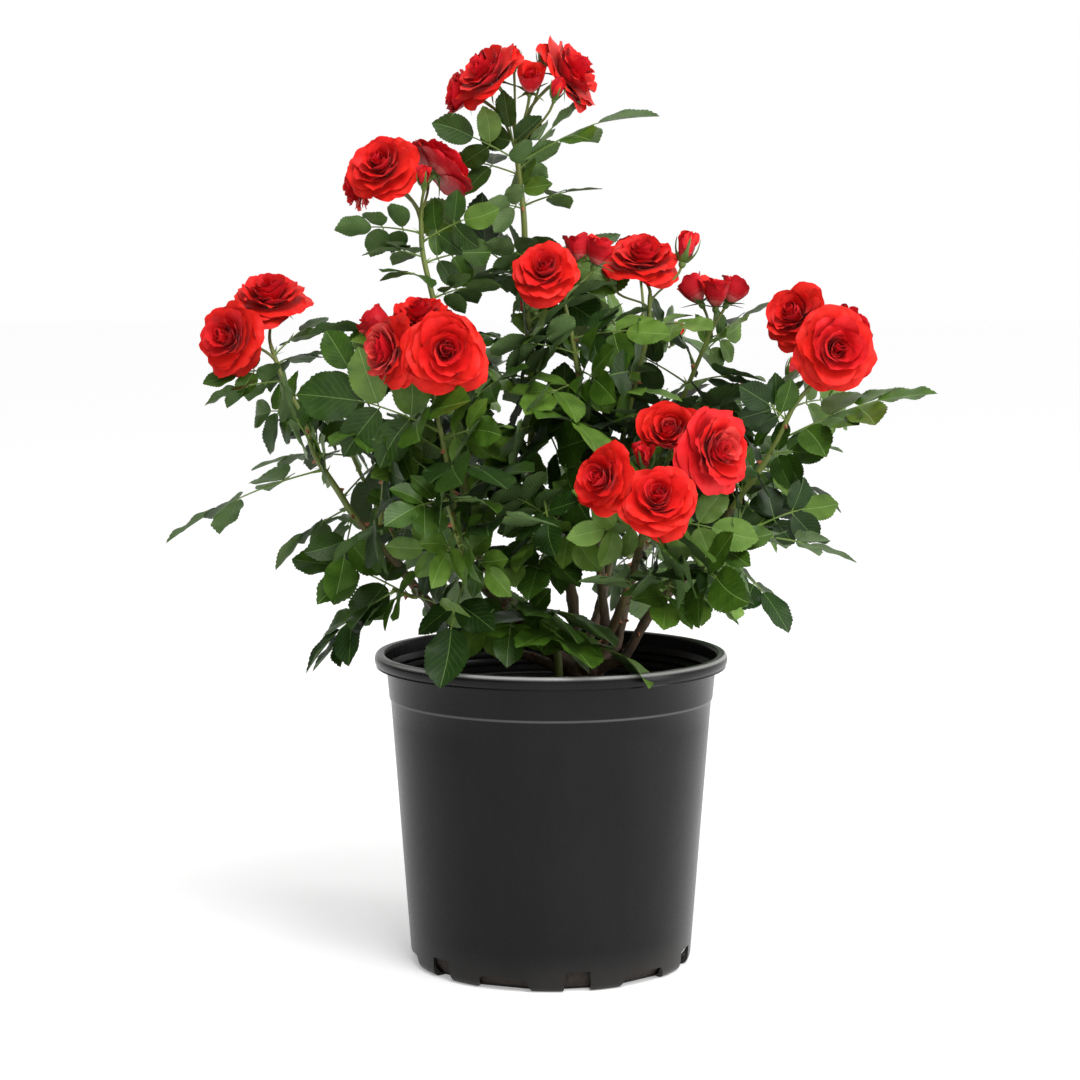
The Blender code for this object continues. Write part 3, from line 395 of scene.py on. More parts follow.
# A finish of two tones of one colour, with its own gloss and relief
def mottled(name, tones, scale, grain, rough, relief, depth=0.0002, stretch=(1, 1, 1), **sockets):
    made, tree, shader = newMaterial(name, **sockets)
    effect = useMottle(tree, tones, scale, grain, rough, stretch)
    dress(tree, shader, effect["Color"], effect["Roughness"], effect["Height"], relief, depth)
    return made


# Leaves
leafForm = {
    "teeth": 14, "toothDepth": 0.060, "toothLean": 0.5, "width": 0.72, "ribHalf": 0.007, "ribGroove": 0.006,
    "thickness": 0.012, "veins": 0.010, "kinds": 8, "veinPairs": 8.0, "veinLean": 3.0,
    "veinCurve": 0.8, "veinWidth": 0.11, "veinFade": (0.55, 1.0),
    "fullness": (0.94, 0.62), "tipFrom": 0.74, "tipNarrow": 0.50, "waves": 2.2, "waveShift": 1.6,
}
leafletSpread = {  # how far the leaflets differ, in the order in which they are drawn
    "width": (0.90, 1.12), "fold": (0.10, 0.34), "curl": (0.06, 0.26), "cup": (-0.10, 0.22),
    "wave": (0.010, 0.032), "phase": (0, math.tau), "twist": (-0.30, 0.30), "sway": (-0.05, 0.05),
}
leafFinish = {
    "scale": 75.0, "grain": 1100.0, "ownTone": (0.86, 1.14), "relief": 0.35, "reliefDepth": 0.0003,
    "coatRough": 0.3, "specular": 0.22,
    "top": {"vein": (92, 124, 52), "rough": (0.36, 0.50), "share": 0.22, "height": -1.2, "coat": 0.04},
    "under": {"vein": (118, 140, 88), "rough": (0.55, 0.7), "share": 0.5, "height": 1.2, "coat": 0.0},
}
ribFinish = {"scale": 90, "grain": 900, "rough": (0.45, 0.55), "relief": 0.05}
topTones = [  # darker and lighter tone of each kind of upper side
    ((26, 48, 6), (46, 75, 16)),
    ((40, 67, 11), (68, 101, 25)),
    ((58, 87, 20), (92, 123, 42)),
    ((17, 38, 6), (30, 56, 12)),
    ((70, 100, 34), (104, 132, 58)),
]
underTones = [((74, 98, 52), (98, 122, 76)), ((60, 86, 40), (84, 110, 60))]
ribTones = [((92, 124, 52), (118, 148, 74)), ((66, 96, 38), (88, 118, 52))]
topSlots = list(range(len(topTones)))
underSlots = [len(topTones) + k for k in range(len(underTones))]
ribSlots = [len(topTones) + len(underTones) + k for k in range(len(ribTones))]


# Side veins from the "spot" attribute, which holds each point's place across and along its leaflet
def makeVeins():
    number = "NodeSocketFloat"
    tree, given, out = newGroup("leafVeins", [("Pairs", number, 8.0), ("Lean", number, 3.0)],
                                [("Mask", number), ("Own", number)])
    held = addNode(tree, "ShaderNodeAttribute", {}, attribute_name="spot").outputs["Vector"]
    split = addNode(tree, "ShaderNodeSeparateXYZ", {0: held}).outputs
    side = maths(tree, "ABSOLUTE", split["X"])
    back = maths(tree, "MULTIPLY", maths(tree, "POWER", side, leafForm["veinCurve"]), given["Lean"])
    rank = maths(tree, "SUBTRACT", maths(tree, "MULTIPLY", split["Y"], given["Pairs"]), back)
    line = ranged(tree, maths(tree, "PINGPONG", rank, 0.5), 0.0, leafForm["veinWidth"], 1.0, 0.0)
    fade = ranged(tree, side, *leafForm["veinFade"], 1.0, 0.0)
    fill(tree, out, {"Mask": maths(tree, "MULTIPLY", line, fade), "Own": split["Z"]})
    return tree


veins = makeVeins()


def leafLook(name, tones, side):
    spec = leafFinish[side]
    made, tree, shader = newMaterial(
        name, Coat_Weight=spec["coat"], Coat_Roughness=leafFinish["coatRough"],
        Specular_IOR_Level=leafFinish["specular"],
    )
    effect = useMottle(tree, tones, leafFinish["scale"], leafFinish["grain"], spec["rough"])
    marks = useGroup(tree, veins, {"Pairs": leafForm["veinPairs"], "Lean": leafForm["veinLean"]})
    own = ranged(tree, marks["Own"], 0.0, 1.0, *leafFinish["ownTone"])
    varied = addNode(tree, "ShaderNodeHueSaturation", {"Value": own, "Color": effect["Color"]})
    veined = maths(tree, "MULTIPLY", marks["Mask"], spec["share"])
    colour = mixedColours(tree, veined, varied.outputs["Color"], tone(*spec["vein"]))
    height = maths(tree, "MULTIPLY_ADD", marks["Mask"], spec["height"], effect["Height"])
    dress(tree, shader, colour, effect["Roughness"], height, leafFinish["relief"], leafFinish["reliefDepth"])
    return made


def leafLooks():
    looks = [leafLook(f"leafTop{k + 1}", pair, "top") for k, pair in enumerate(topTones)]
    looks += [leafLook(f"leafUnder{k + 1}", pair, "under") for k, pair in enumerate(underTones)]
    return looks + [mottled(f"leafRib{k + 1}", pair, **ribFinish) for k, pair in enumerate(ribTones)]


# Half the leaflet's width at a share of its length
def leafletHalf(v, width):
    if v <= 0 or v >= 1:
        return 0.0
    shift, power = leafForm["fullness"]
    tip = max((v - leafForm["tipFrom"]) / (1 - leafForm["tipFrom"]), 0.0)
    narrow = 1 - leafForm["tipNarrow"] * tip * tip * (3 - 2 * tip)
    return 0.5 * width * (4 * v**shift * (1 - v**shift)) ** power * narrow


# One toothed leaflet of length 1 along +Y: an upper side with its rib, and a plainer underside
def leafletShape(rng):
    rows = 2 * leafForm["teeth"]
    own = {key: rng.uniform(*span) for key, span in leafletSpread.items()}
    width = leafForm["width"] * own["width"]
    shape = bmesh.new()
    spots = shape.verts.layers.float_vector.new("spot")

    def lay(columns, under):
        count = len(columns) - 1
        verts = bmesh.ops.create_grid(shape, x_segments=count, y_segments=rows, size=1.0)["verts"]
        faces = facesOf(verts)
        for face in faces:
            column = int((face.calc_center_median().x + 1) / 2 * count)
            face.material_index = 2 if under else 1 if column == 2 else 0
        for vert in verts:
            u = columns[round((vert.co.x + 1) / 2 * count)]
            i = round((vert.co.y + 1) / 2 * rows)
            v = i / rows
            bulge = math.sin(math.pi * v)
            half = leafletHalf(v, width)
            long = v
            if abs(u) == 1 and i % 2:
                half *= 1 - leafForm["toothDepth"]
            elif abs(u) == 1 and 0 < i < rows:
                long += leafForm["toothLean"] / rows
            x = u * half if abs(u) > 0.1 else u * min(1.0, bulge * 4)
            z = own["fold"] * abs(x) - own["curl"] * v * v - own["cup"] * x * x / 0.3
            beat = math.tau * leafForm["waves"] * v + own["phase"] + (leafForm["waveShift"] if u < 0 else 0)
            z += own["wave"] * math.sin(beat) * u * u * bulge
            if abs(u) == 0.5:
                z += leafForm["veins"] * (0.5 if i % 2 else -0.5) * bulge
            if abs(u) <= 0.1:
                z -= leafForm["ribGroove"] * bulge
            if abs(u) < 1 and under:
                z -= leafForm["thickness"] * max(bulge, 0.0) ** 0.5
            turn = own["twist"] * v
            vert[spots] = (u, v, 0)
            vert.co = (
                x * math.cos(turn) - z * math.sin(turn) + own["sway"] * bulge, long,
                x * math.sin(turn) + z * math.cos(turn),
            )
        return faces

    rib = leafForm["ribHalf"]
    lay((-1, -0.5, -rib, rib, 0.5, 1), False)
    lower = lay((-1, -0.5, 0, 0.5, 1), True)
    bmesh.ops.reverse_faces(shape, faces=lower)
    bmesh.ops.remove_doubles(shape, verts=shape.verts, dist=1e-4)
    bmesh.ops.dissolve_degenerate(shape, edges=shape.edges, dist=1e-5)
    return arraysOf(shape, "spot")


# Blooms: each pair runs from the innermost petal to the outermost, in mm and in degrees from the bloom's axis
bloomForms = {
    "open": {
        "petals": 34, "length": (19, 26), "width": (13, 40), "foot": (0.6, 4.0), "lift": (2.0, -1.0),
        "baseLean": (2, 70), "tipLean": (-16, 106), "rim": (10, 36), "ruffle": (0.7, 2.1), "wrap": (1.0, 1.5),
        "across": 10, "along": 7, "sepalLean": (88, 132), "span": 51, "tall": 0.52, "seat": 4.5,
    },
    "cup": {
        "petals": 32, "length": (15, 27), "width": (13, 37), "foot": (0.6, 4.0), "lift": (2.0, -0.5),
        "baseLean": (2, 60), "tipLean": (-24, 30), "rim": (6, 60), "ruffle": (0.6, 1.9), "wrap": (1.0, 1.3),
        "across": 10, "along": 7, "sepalLean": (82, 122), "span": 40, "tall": 0.72, "seat": 4.5,
    },
    "half": {
        "petals": 17, "length": (16, 23), "width": (11, 25), "foot": (0.8, 2.8), "lift": (1.0, 0.0),
        "baseLean": (6, 40), "tipLean": (-26, 6), "rim": (0, 64), "ruffle": (0.4, 1.5), "wrap": (1.0, 1.1),
        "across": 8, "along": 7, "sepalLean": (62, 84), "span": 25, "tall": 1.05, "seat": 4.5,
    },
    "bud": {
        "petals": 6, "length": (15, 17), "width": (11, 17), "foot": (0.6, 1.8), "lift": (0.5, 0.0),
        "baseLean": (12, 30), "tipLean": (-32, -27), "rim": (0, 4), "ruffle": (0.05, 0.3), "wrap": (1.0, 1.0),
        "across": 6, "along": 6, "sepalLean": (46, -4), "span": 12.5, "tall": 1.45, "seat": 3.5,
    },
}
bloomKinds = {"open": 4, "cup": 3, "half": 3, "bud": 2}
petalTones = {  # darker and lighter tone
    "heart": ((198, 11, 23), (226, 36, 38)),
    "inner": ((208, 13, 17), (232, 36, 30)),
    "bright": ((206, 15, 13), (235, 42, 30)),
    "back": ((178, 11, 27), (208, 28, 40)),
    "rosy": ((184, 30, 40), (212, 56, 60)),
    "pale": ((192, 66, 72), (222, 112, 108)),
    "pink": ((220, 46, 50), (244, 92, 84)),
    "hip": ((66, 92, 34), (104, 128, 56)),
    "sepal": ((58, 88, 30), (96, 122, 50)),
}
petalSlots = {name: k for k, name in enumerate(petalTones)}
bloomFinish = {
    "scale": 110, "grain": 1400, "relief": 0.12, "sheenRough": 0.4,
    "petal": {"rough": (0.46, 0.6), "specular": 0.16, "sheen": 0.05},
    "green": {"rough": (0.5, 0.62), "specular": 0.5, "sheen": 0.0},
}
petalSpread = {  # how far the petals differ, in the order in which they are drawn
    "length": (0.90, 1.08), "width": (0.82, 1.12), "base": (-4, 4), "tip": (-15, 13), "rim": (0.2, 1.5),
    "ruffle": (0.6, 1.2), "wrap": (0.9, 1.15), "phase": (0, math.tau), "waves": (2.4, 4.0),
    "notch": (-0.06, 0.05), "shear": (-2.2, 2.2),
}
petalForm = {
    "steps": 28, "leanBy": 0.8, "rimFrom": 0.72, "fullFrom": 0.68, "footWidth": 0.24, "topNarrow": 0.16,
    "cornerCut": 0.24, "notchWidth": 0.2, "leastBend": 3.2, "overlap": 0.9, "fineRuffle": 0.45,
    "thickness": 0.28,
}


def petalLooks():
    looks = []
    for name, pair in petalTones.items():
        own = bloomFinish["green" if name in ("hip", "sepal") else "petal"]
        looks.append(mottled(
            f"bloom{name.capitalize()}", pair, bloomFinish["scale"], bloomFinish["grain"], own["rough"],
            bloomFinish["relief"], Specular_IOR_Level=own["specular"], Sheen_Weight=own["sheen"],
            Sheen_Roughness=bloomFinish["sheenRough"],
        ))
    return looks


# A way in a plane through the axis: radius, height and lean at each step, as the lean changes along it
def leaningWay(radius, height, lean, leanAt, length, steps):
    way = [(radius, height, math.radians(lean))]
    for k in range(steps):
        angle = math.radians(leanAt((k + 1) / steps))
        radius += math.sin(angle) * length / steps
        height += math.cos(angle) * length / steps
        way.append((radius, height, angle))
    return way


def alongWay(way, share):
    steps = len(way) - 1
    place = min(max(share, 0.0), 1.0) * steps
    k = min(int(place), steps - 1)
    return (blend((way[k][j], way[k + 1][j]), place - k) for j in range(3))


# One petal as a thin closed blade: its face towards the axis, and its back
def petalShape(form, share, rng, slots):
    own = {key: rng.uniform(*span) for key, span in petalSpread.items()}
    length = blend(form["length"], share**0.8) * own["length"]
    width = blend(form["width"], share**0.7) * own["width"]
    base = blend(form["baseLean"], share) + own["base"]
    tip = blend(form["tipLean"], share**1.1) + own["tip"]
    rim = blend(form["rim"], share) * own["rim"]
    ruffle = blend(form["ruffle"], share) * own["ruffle"]
    wrap = blend(form["wrap"], share) * own["wrap"]
    waves, phase = own["waves"], own["phase"]
    shear = own["shear"] * (1 - 0.5 * share)
    rimFrom, fullFrom, footWidth = petalForm["rimFrom"], petalForm["fullFrom"], petalForm["footWidth"]

    def leanAt(v):
        lean = base + (tip - base) * min(v / petalForm["leanBy"], 1.0) ** 1.2
        return lean + rim * max((v - rimFrom) / (1 - rimFrom), 0) ** 1.6

    foot, lift = blend(form["foot"], share), blend(form["lift"], share)
    way = leaningWay(foot, lift, base, leanAt, length, petalForm["steps"])
    shape = bmesh.new()

    def lay(back):
        verts = bmesh.ops.create_grid(
            shape, x_segments=form["across"], y_segments=form["along"], size=1.0
        )["verts"]
        faces = facesOf(verts)
        for face in faces:
            low = (face.calc_center_median().y + 1) / 2
            face.material_index = slots[0 if not back else 3 if low < 0.25 else 2 if low < 0.4 else 1]
        for vert in verts:
            u, v = vert.co.x, (vert.co.y + 1) / 2
            rimmed = abs(u) > 0.999 or v > 0.999 or v < 0.001
            dent = own["notch"] * math.exp(-((u / petalForm["notchWidth"]) ** 2))
            long = v * (1 - petalForm["cornerCut"] * abs(u) ** 2.6 * v * v - dent * v)
            radius, height, lean = alongWay(way, long)
            half = width / 2 * (footWidth + (1 - footWidth) * math.sin(math.pi / 2 * min(v / fullFrom, 1.0)))
            half *= 1 - petalForm["topNarrow"] * max((v - fullFrom) / (1 - fullFrom), 0) ** 2
            bend = max(radius * wrap, petalForm["leastBend"])
            angle = u * half / bend
            out = radius - bend * (1 - math.cos(angle)) + petalForm["overlap"] * u * (1 - 0.6 * share)
            swell = ruffle * v**3 * math.sin(waves * u + phase)
            swell += ruffle * petalForm["fineRuffle"] * v**6 * math.sin(3.1 * waves * u + 2 * phase)
            swell += 0.0 if rimmed or not back else petalForm["thickness"]
            out += swell * math.cos(lean)
            vert.co = (out, bend * math.sin(angle) + shear * v * v, height - swell * math.sin(lean))
        return faces

    fronts = lay(False)
    lay(True)
    bmesh.ops.reverse_faces(shape, faces=fronts)
    bmesh.ops.remove_doubles(shape, verts=shape.verts, dist=1e-4)
    return arraysOf(shape)


sepalForm = {"length": 15, "seat": (2.2, -1.2), "half": 2.0, "thickness": 0.35, "steps": 16}
hipForm = {"half": 2.7, "tall": 3.6, "sunk": 2.4, "narrow": 0.18, "budSize": 0.75}


# A narrow green sepal, hugging a bud or bent back under an open bloom
def sepalShape(lean, rng):
    shape = bmesh.new()
    length = sepalForm["length"] * rng.uniform(0.9, 1.15)
    way = leaningWay(*sepalForm["seat"], lean[0], lambda v: blend(lean, v**0.7) + rng.uniform(-3, 3), length,
                     sepalForm["steps"])
    for back in (False, True):
        verts = bmesh.ops.create_grid(shape, x_segments=2, y_segments=8, size=1.0)["verts"]
        faces = facesOf(verts)
        for face in faces:
            face.material_index = petalSlots["sepal"]
        for vert in verts:
            u, v = vert.co.x, (vert.co.y + 1) / 2
            radius, height, angle = alongWay(way, v)
            half = sepalForm["half"] * (1 - v) ** 0.8 * (1 + 0.25 * math.sin(9 * v))
            swell = sepalForm["thickness"] * math.sin(math.pi * v) if back and abs(u) < 0.5 else 0.0
            swell -= 0.5 * half * u * u * 0.5
            vert.co = (radius + swell * math.cos(angle), u * half, height - swell * math.sin(angle))
        if not back:
            bmesh.ops.reverse_faces(shape, faces=faces)
    bmesh.ops.remove_doubles(shape, verts=shape.verts, dist=1e-4)
    return arraysOf(shape)


def hipShape(size):
    shape = bmesh.new()
    bmesh.ops.create_uvsphere(shape, u_segments=10, v_segments=6, radius=1.0)
    wide, tall, sunk = hipForm["half"], hipForm["tall"], hipForm["sunk"]
    for vert in shape.verts:
        x, y, z = vert.co
        narrow = 1 - hipForm["narrow"] * max(z, 0)
        vert.co = (x * wide * size * narrow, y * wide * size * narrow, z * tall * size - sunk * size)
    for face in shape.faces:
        face.material_index = petalSlots["hip"]
    return arraysOf(shape)


def spun(shape, turn):
    c, s = math.cos(turn), math.sin(turn)
    return placed(shape, ((c, s, 0), (-s, c, 0), (0, 0, 1)), (0, 0, 0))


# A whole bloom in mm on its axis, +Z, with its petals set round by the same turn as the leaves
def bloomShape(kind, rng, heart):
    form = dict(bloomForms[kind])
    form["baseLean"] = (form["baseLean"][0] + heart, form["baseLean"][1])
    form["tipLean"] = (form["tipLean"][0] + heart * 1.3, form["tipLean"][1])
    petals = []
    count = form["petals"]
    turn = rng.uniform(0, math.tau)
    for k in range(count):
        share = k / (count - 1)
        face = "heart" if share < 0.3 else "inner" if share < 0.6 else "bright"
        names = (face, "back", "rosy", "pale") if share > 0.5 else (face, "back", "back", "back")
        slots = [petalSlots[name] for name in names]
        petals.append(spun(petalShape(form, share, rng, slots), turn))
        turn += turnPerLeaf + rng.uniform(-0.3, 0.3)
    green = [hipShape(hipForm["budSize"] if kind == "bud" else 1.0)]
    for k in range(5):
        sepal = sepalShape([lean + rng.uniform(-5, 9) for lean in form["sepalLean"]], rng)
        green.append(spun(sepal, math.tau * (k + rng.uniform(-0.1, 0.1)) / 5))
    return joined(petals + green)


# Growth: each shoot's stem, stalks, blooms and leaves, by the rule of the solids, carried on to finer leaves
growth = {
    "leadLength": 0.004, "spurLength": 0.004, "spurLean": 0.5, "stemStep": 0.006, "stalkLead": 0.35,
    "lightSide": Vector((0, -0.45, 0)), "leafHang": (0.25, 0.55), "terminalShare": {3: 0.50, 5: 0.46, 7: 0.38},
    "terminalSpan": (0.031, 0.050), "pairPlaces": {3: (0.66,), 5: (0.38, 0.80), 7: (0.28, 0.55, 0.82)},
    "pairTurns": (76, 56), "pairGrow": (0.84, 0.10), "arch": 0.10, "petiole": (0.00085, 0.00055),
    "petioleFoot": (0.0009, 0.12), "leafletStalk": 0.0022, "stipule": 0.008, "caneSteps": 40, "rachisSteps": 8,
    "outLean": (0.25, 0.65), "stalkPoints": (0.0016, 0.0034), "oneShade": 0.75, "stipuleOff": 0.001,
}
leafSpread = {  # how far the leaflets of a leaf stray from their places, turns and sizes
    "pair": (-0.02, 0.02), "side": (-0.015, 0.015), "turn": (-9, 9), "roll": (-20, 20),
    "sideHang": (0.0, 0.24), "endHang": (0.0, 0.2), "size": (0.88, 1.06),
}
stemTones = {
    "green": ((82, 96, 34), (114, 126, 54)),
    "petiole": ((86, 112, 46), (118, 142, 64)),
    "thorn": ((122, 66, 42), (168, 104, 66)),
    "pith": ((186, 186, 132), (214, 210, 160)),
}
stemFinish = {"scale": 80, "grain": 800, "rough": (0.42, 0.56), "relief": 0.15, "stretch": (1, 1, 0.3)}
stemSlots = {name: k for k, name in enumerate(stemTones)}


def stemLooks():
    return [mottled(name + "Stem", pair, **stemFinish) for name, pair in stemTones.items()]


def ledWay(start, ahead, points, count):
    lead = start + ahead * growth["leadLength"]
    return [start] + smoothWay([lead, lead + ahead * growth["leadLength"]] + points, count - 1)


def caneLine(cane):
    end = Vector(cane["way"][0])
    ahead = (end - stockMiddle).normalized()
    return ledWay(end + ahead * seatGap, ahead, cane["way"][1:], growth["caneSteps"])


def shootStart(shoot, lines, limbRadii):
    name, share = shoot["on"]
    place, ahead = spot(lines[name], share)
    if share >= 1.0:
        return lines[name][-1] - ahead * 0.002, ahead, None
    radius = blend(limbRadii[name], share)
    away = across(ahead, Vector(shoot["way"][0]) - place)
    away = (away + ahead * growth["spurLean"]).normalized()
    end = place + away * (radius + growth["spurLength"])
    return end, away, (place, end)


# The crown seen from the front, in mm across and up: its edge, and the gaps in it that show the sky
crownEdge = [
    (-118, 260), (-132, 260), (-147, 272), (-150, 242), (-160, 234), (-174, 243), (-199, 225), (-202, 242),
    (-188, 258), (-190, 273), (-158, 273), (-166, 274), (-182, 290), (-182, 300), (-206, 302), (-202, 316),
    (-223, 310), (-222, 322), (-208, 338), (-178, 350), (-158, 350), (-172, 374), (-184, 390), (-204, 390),
    (-214, 370), (-236, 366), (-245, 354), (-264, 342), (-284, 326), (-306, 327), (-292, 348), (-272, 364),
    (-285, 379), (-262, 388), (-243, 380), (-244, 393), (-228, 411), (-214, 404), (-204, 397), (-203, 408),
    (-186, 408), (-190, 414), (-212, 418), (-222, 430), (-242, 437), (-252, 423), (-264, 424), (-258, 437),
    (-270, 446), (-278, 458), (-280, 496), (-262, 518), (-244, 534), (-200, 538), (-185, 513), (-172, 511),
    (-172, 500), (-200, 490), (-206, 468), (-192, 463), (-196, 447), (-172, 447), (-154, 440), (-156, 426),
    (-142, 426), (-126, 433), (-112, 428), (-92, 439), (-112, 446), (-131, 440), (-144, 450), (-191, 447),
    (-172, 464), (-184, 456), (-174, 482), (-179, 494), (-166, 504), (-143, 502), (-124, 515), (-102, 524),
    (-106, 552), (-117, 545), (-128, 553), (-150, 554), (-132, 564), (-142, 576), (-160, 560), (-171, 570),
    (-158, 590), (-164, 608), (-148, 642), (-128, 650), (-66, 648), (-60, 640), (-72, 654), (-97, 646),
    (-82, 664), (-80, 692), (-58, 717), (40, 722), (50, 700), (38, 672), (74, 658), (54, 652), (28, 662),
    (18, 648), (2, 630), (-18, 640), (-8, 623), (-22, 620), (8, 606), (39, 605), (10, 593), (-14, 592),
    (-16, 570), (20, 575), (104, 572), (117, 558), (106, 544), (150, 541), (154, 520), (198, 530), (242, 512),
    (258, 490), (252, 462), (231, 442), (223, 424), (244, 438), (262, 453), (300, 450), (290, 436), (266, 435),
    (262, 424), (240, 418), (216, 424), (205, 420), (217, 406), (204, 401), (196, 385), (184, 382), (200, 380),
    (222, 374), (226, 356), (198, 353), (188, 360), (170, 352), (188, 346), (200, 351), (217, 352), (208, 337),
    (222, 337), (236, 328), (240, 311), (214, 311), (200, 322), (194, 312), (184, 302), (170, 306), (166, 320),
    (174, 334), (164, 338), (148, 322), (157, 298), (176, 297), (192, 276), (191, 258), (176, 267), (164, 282),
    (162, 270), (152, 260), (142, 272), (136, 280), (136, 262), (128, 272), (116, 261), (106, 257), (94, 266),
    (92, 276), (80, 261), (70, 276), (62, 264), (60, 246), (74, 240), (88, 226), (85, 217), (62, 224),
    (42, 215), (28, 226), (10, 238), (-10, 231), (-22, 242), (-42, 239), (-62, 246), (-62, 224), (-80, 230),
    (-94, 203), (-108, 216), (-120, 228), (-106, 243), (-92, 249),
]
skyGaps = [  # middle across and up, and half the width and height
    (-57, 508, 17, 7), (-36, 518, 10, 9), (-29, 486, 8, 7), (-43, 474, 8, 7), (-40, 437, 8, 12),
    (9, 464, 10, 12), (27, 462, 6, 12), (97, 467, 11, 18), (76, 452, 9, 8), (142, 483, 25, 12),
    (118, 468, 7, 11), (172, 432, 13, 9), (198, 437, 8, 11), (88, 514, 7, 9), (108, 513, 6, 9),
    (-162, 394, 17, 13), (-150, 372, 9, 13),
    (-111, 331, 7, 13), (-133, 294, 12, 11), (-114, 271, 7, 10), (-66, 279, 7, 6), (-61, 297, 6, 8),
    (-40, 303, 9, 9), (-46, 330, 5, 7), (-4, 404, 8, 7), (7, 282, 6, 10), (25, 282, 7, 14), (68, 266, 6, 7),
    (93, 272, 5, 7), (73, 325, 5, 7), (24, 334, 6, 7), (138, 360, 6, 7), (57, 412, 4, 7), (-96, 295, 6, 5),
    (-43, 612, 15, 10), (-88, 548, 7, 9), (-64, 541, 9, 5), (-30, 577, 6, 7), (-48, 645, 5, 6),
]
seenFrom = {  # where the crown is seen from, and the cells that its view is counted in
    "distance": 2.022, "height": 0.536, "cell": 0.004, "left": -0.36, "foot": 0.16, "across": 180, "up": 150,
}
room = {  # what a leaf gains and pays for each cell that it covers, and for what stands too near
    "gain": 1.0, "sky": 4.2, "skySet": 1.6, "layer": 0.28, "overBloom": 2.0, "near": 0.017, "nearCost": 2.5,
    "inBloom": 0.42, "inBloomCost": 12.0, "discShare": 0.45, "rear": 0.06, "most": 7.0, "tries": 34,
    "rolls": (0, 22, -22, 44, -44, 66, -66), "reach": (0.058, 0.122), "more": 2.6,
    "shifts": (0.005, 0.014, 0.006), "shiftTries": 40, "leaflets": {3: 3, 5: 7, 7: 1},
    "away": 0.86, "ahead": (0.1, 0.8), "sag": (0.0, 0.45), "roll": (-12, 12),
}
markPlaces = [(along, beside) for along in (0.08, 0.28, 0.50, 0.72, 0.93) for beside in (-0.8, 0.0, 0.8)]
markAlong = np.array([along for along, _ in markPlaces])
markBeside = np.array([beside * leafletHalf(along, leafForm["width"]) for along, beside in markPlaces])


# What room the crown has: a leaf keeps inside the edge, out of the gaps, off the blooms and where few are
class Crown:
    def __init__(self):
        cell = seenFrom["cell"] * 1000
        x = seenFrom["left"] * 1000 + (np.arange(seenFrom["across"]) + 0.5)[:, None] * cell
        z = seenFrom["foot"] * 1000 + (np.arange(seenFrom["up"]) + 0.5)[None, :] * cell
        inside = np.zeros((seenFrom["across"], seenFrom["up"]), bool)
        for (ax, az), (bx, bz) in zip(crownEdge, crownEdge[1:] + crownEdge[:1]):
            if az != bz:
                inside ^= ((az > z) != (bz > z)) & (x < ax + (z - az) * (bx - ax) / (bz - az))
        for middle, height, halfAcross, halfUp in skyGaps:
            inside &= ((x - middle) / halfAcross) ** 2 + ((z - height) / halfUp) ** 2 > 1
        self.open = inside.ravel()
        self.layers = np.zeros(inside.size)
        self.bloomFront = np.full(inside.size, -9.0)
        self.middles = []
        self.blooms = []

    def cellsOf(self, points):
        near = seenFrom["distance"] / (seenFrom["distance"] + points[:, 1])
        across = ((points[:, 0] * near - seenFrom["left"]) / seenFrom["cell"]).astype(int)
        height = seenFrom["height"] + (points[:, 2] - seenFrom["height"]) * near
        return across * seenFrom["up"] + ((height - seenFrom["foot"]) / seenFrom["cell"]).astype(int)

    def noteBloom(self, middle, width):
        self.blooms.append((middle, width * room["inBloom"]))
        if middle.y < room["rear"]:
            turns = np.linspace(0, math.tau, 40)
            for reach in np.linspace(0, width * room["discShare"], 10):
                disc = np.array(middle) + np.stack([np.cos(turns), turns * 0, np.sin(turns)], 1) * reach
                cells = self.cellsOf(disc)
                self.bloomFront[cells] = np.maximum(self.bloomFront[cells], middle.y)

    def marksOf(self, blades):
        roots, ways, faces = (np.array([blade[k] for blade in blades]) for k in range(3))
        lengths = np.array([blade[3] for blade in blades])[:, None, None]
        beside = np.cross(ways, faces)[:, None, :] * markBeside[None, :, None]
        along = ways[:, None, :] * markAlong[None, :, None]
        return (roots[:, None, :] + (along + beside) * lengths).reshape(-1, 3)

    def middlesOf(self, blades):
        return [root + way * (length * 0.5) for root, way, _, length in blades]

    def note(self, blades):
        self.middles += self.middlesOf(blades)
        self.layers[np.unique(self.cellsOf(self.marksOf(blades)))] += 1

    def cost(self, blades, sky):
        points = self.marksOf(blades)
        cells, first = np.unique(self.cellsOf(points), return_index=True)
        free = self.open[cells]
        total = sky * (~free).sum() - room["gain"] * (free & (self.layers[cells] == 0)).sum()
        total += room["layer"] * self.layers[cells][free].sum()
        total += room["overBloom"] * (points[first, 1] < self.bloomFront[cells]).sum()
        for middle in self.middlesOf(blades):
            near = sum((other - middle).length < room["near"] for other in self.middles)
            inside = sum((place - middle).length < reach for place, reach in self.blooms)
            total += room["nearCost"] * near
            total += room["inBloomCost"] * inside
        return total / len(blades)


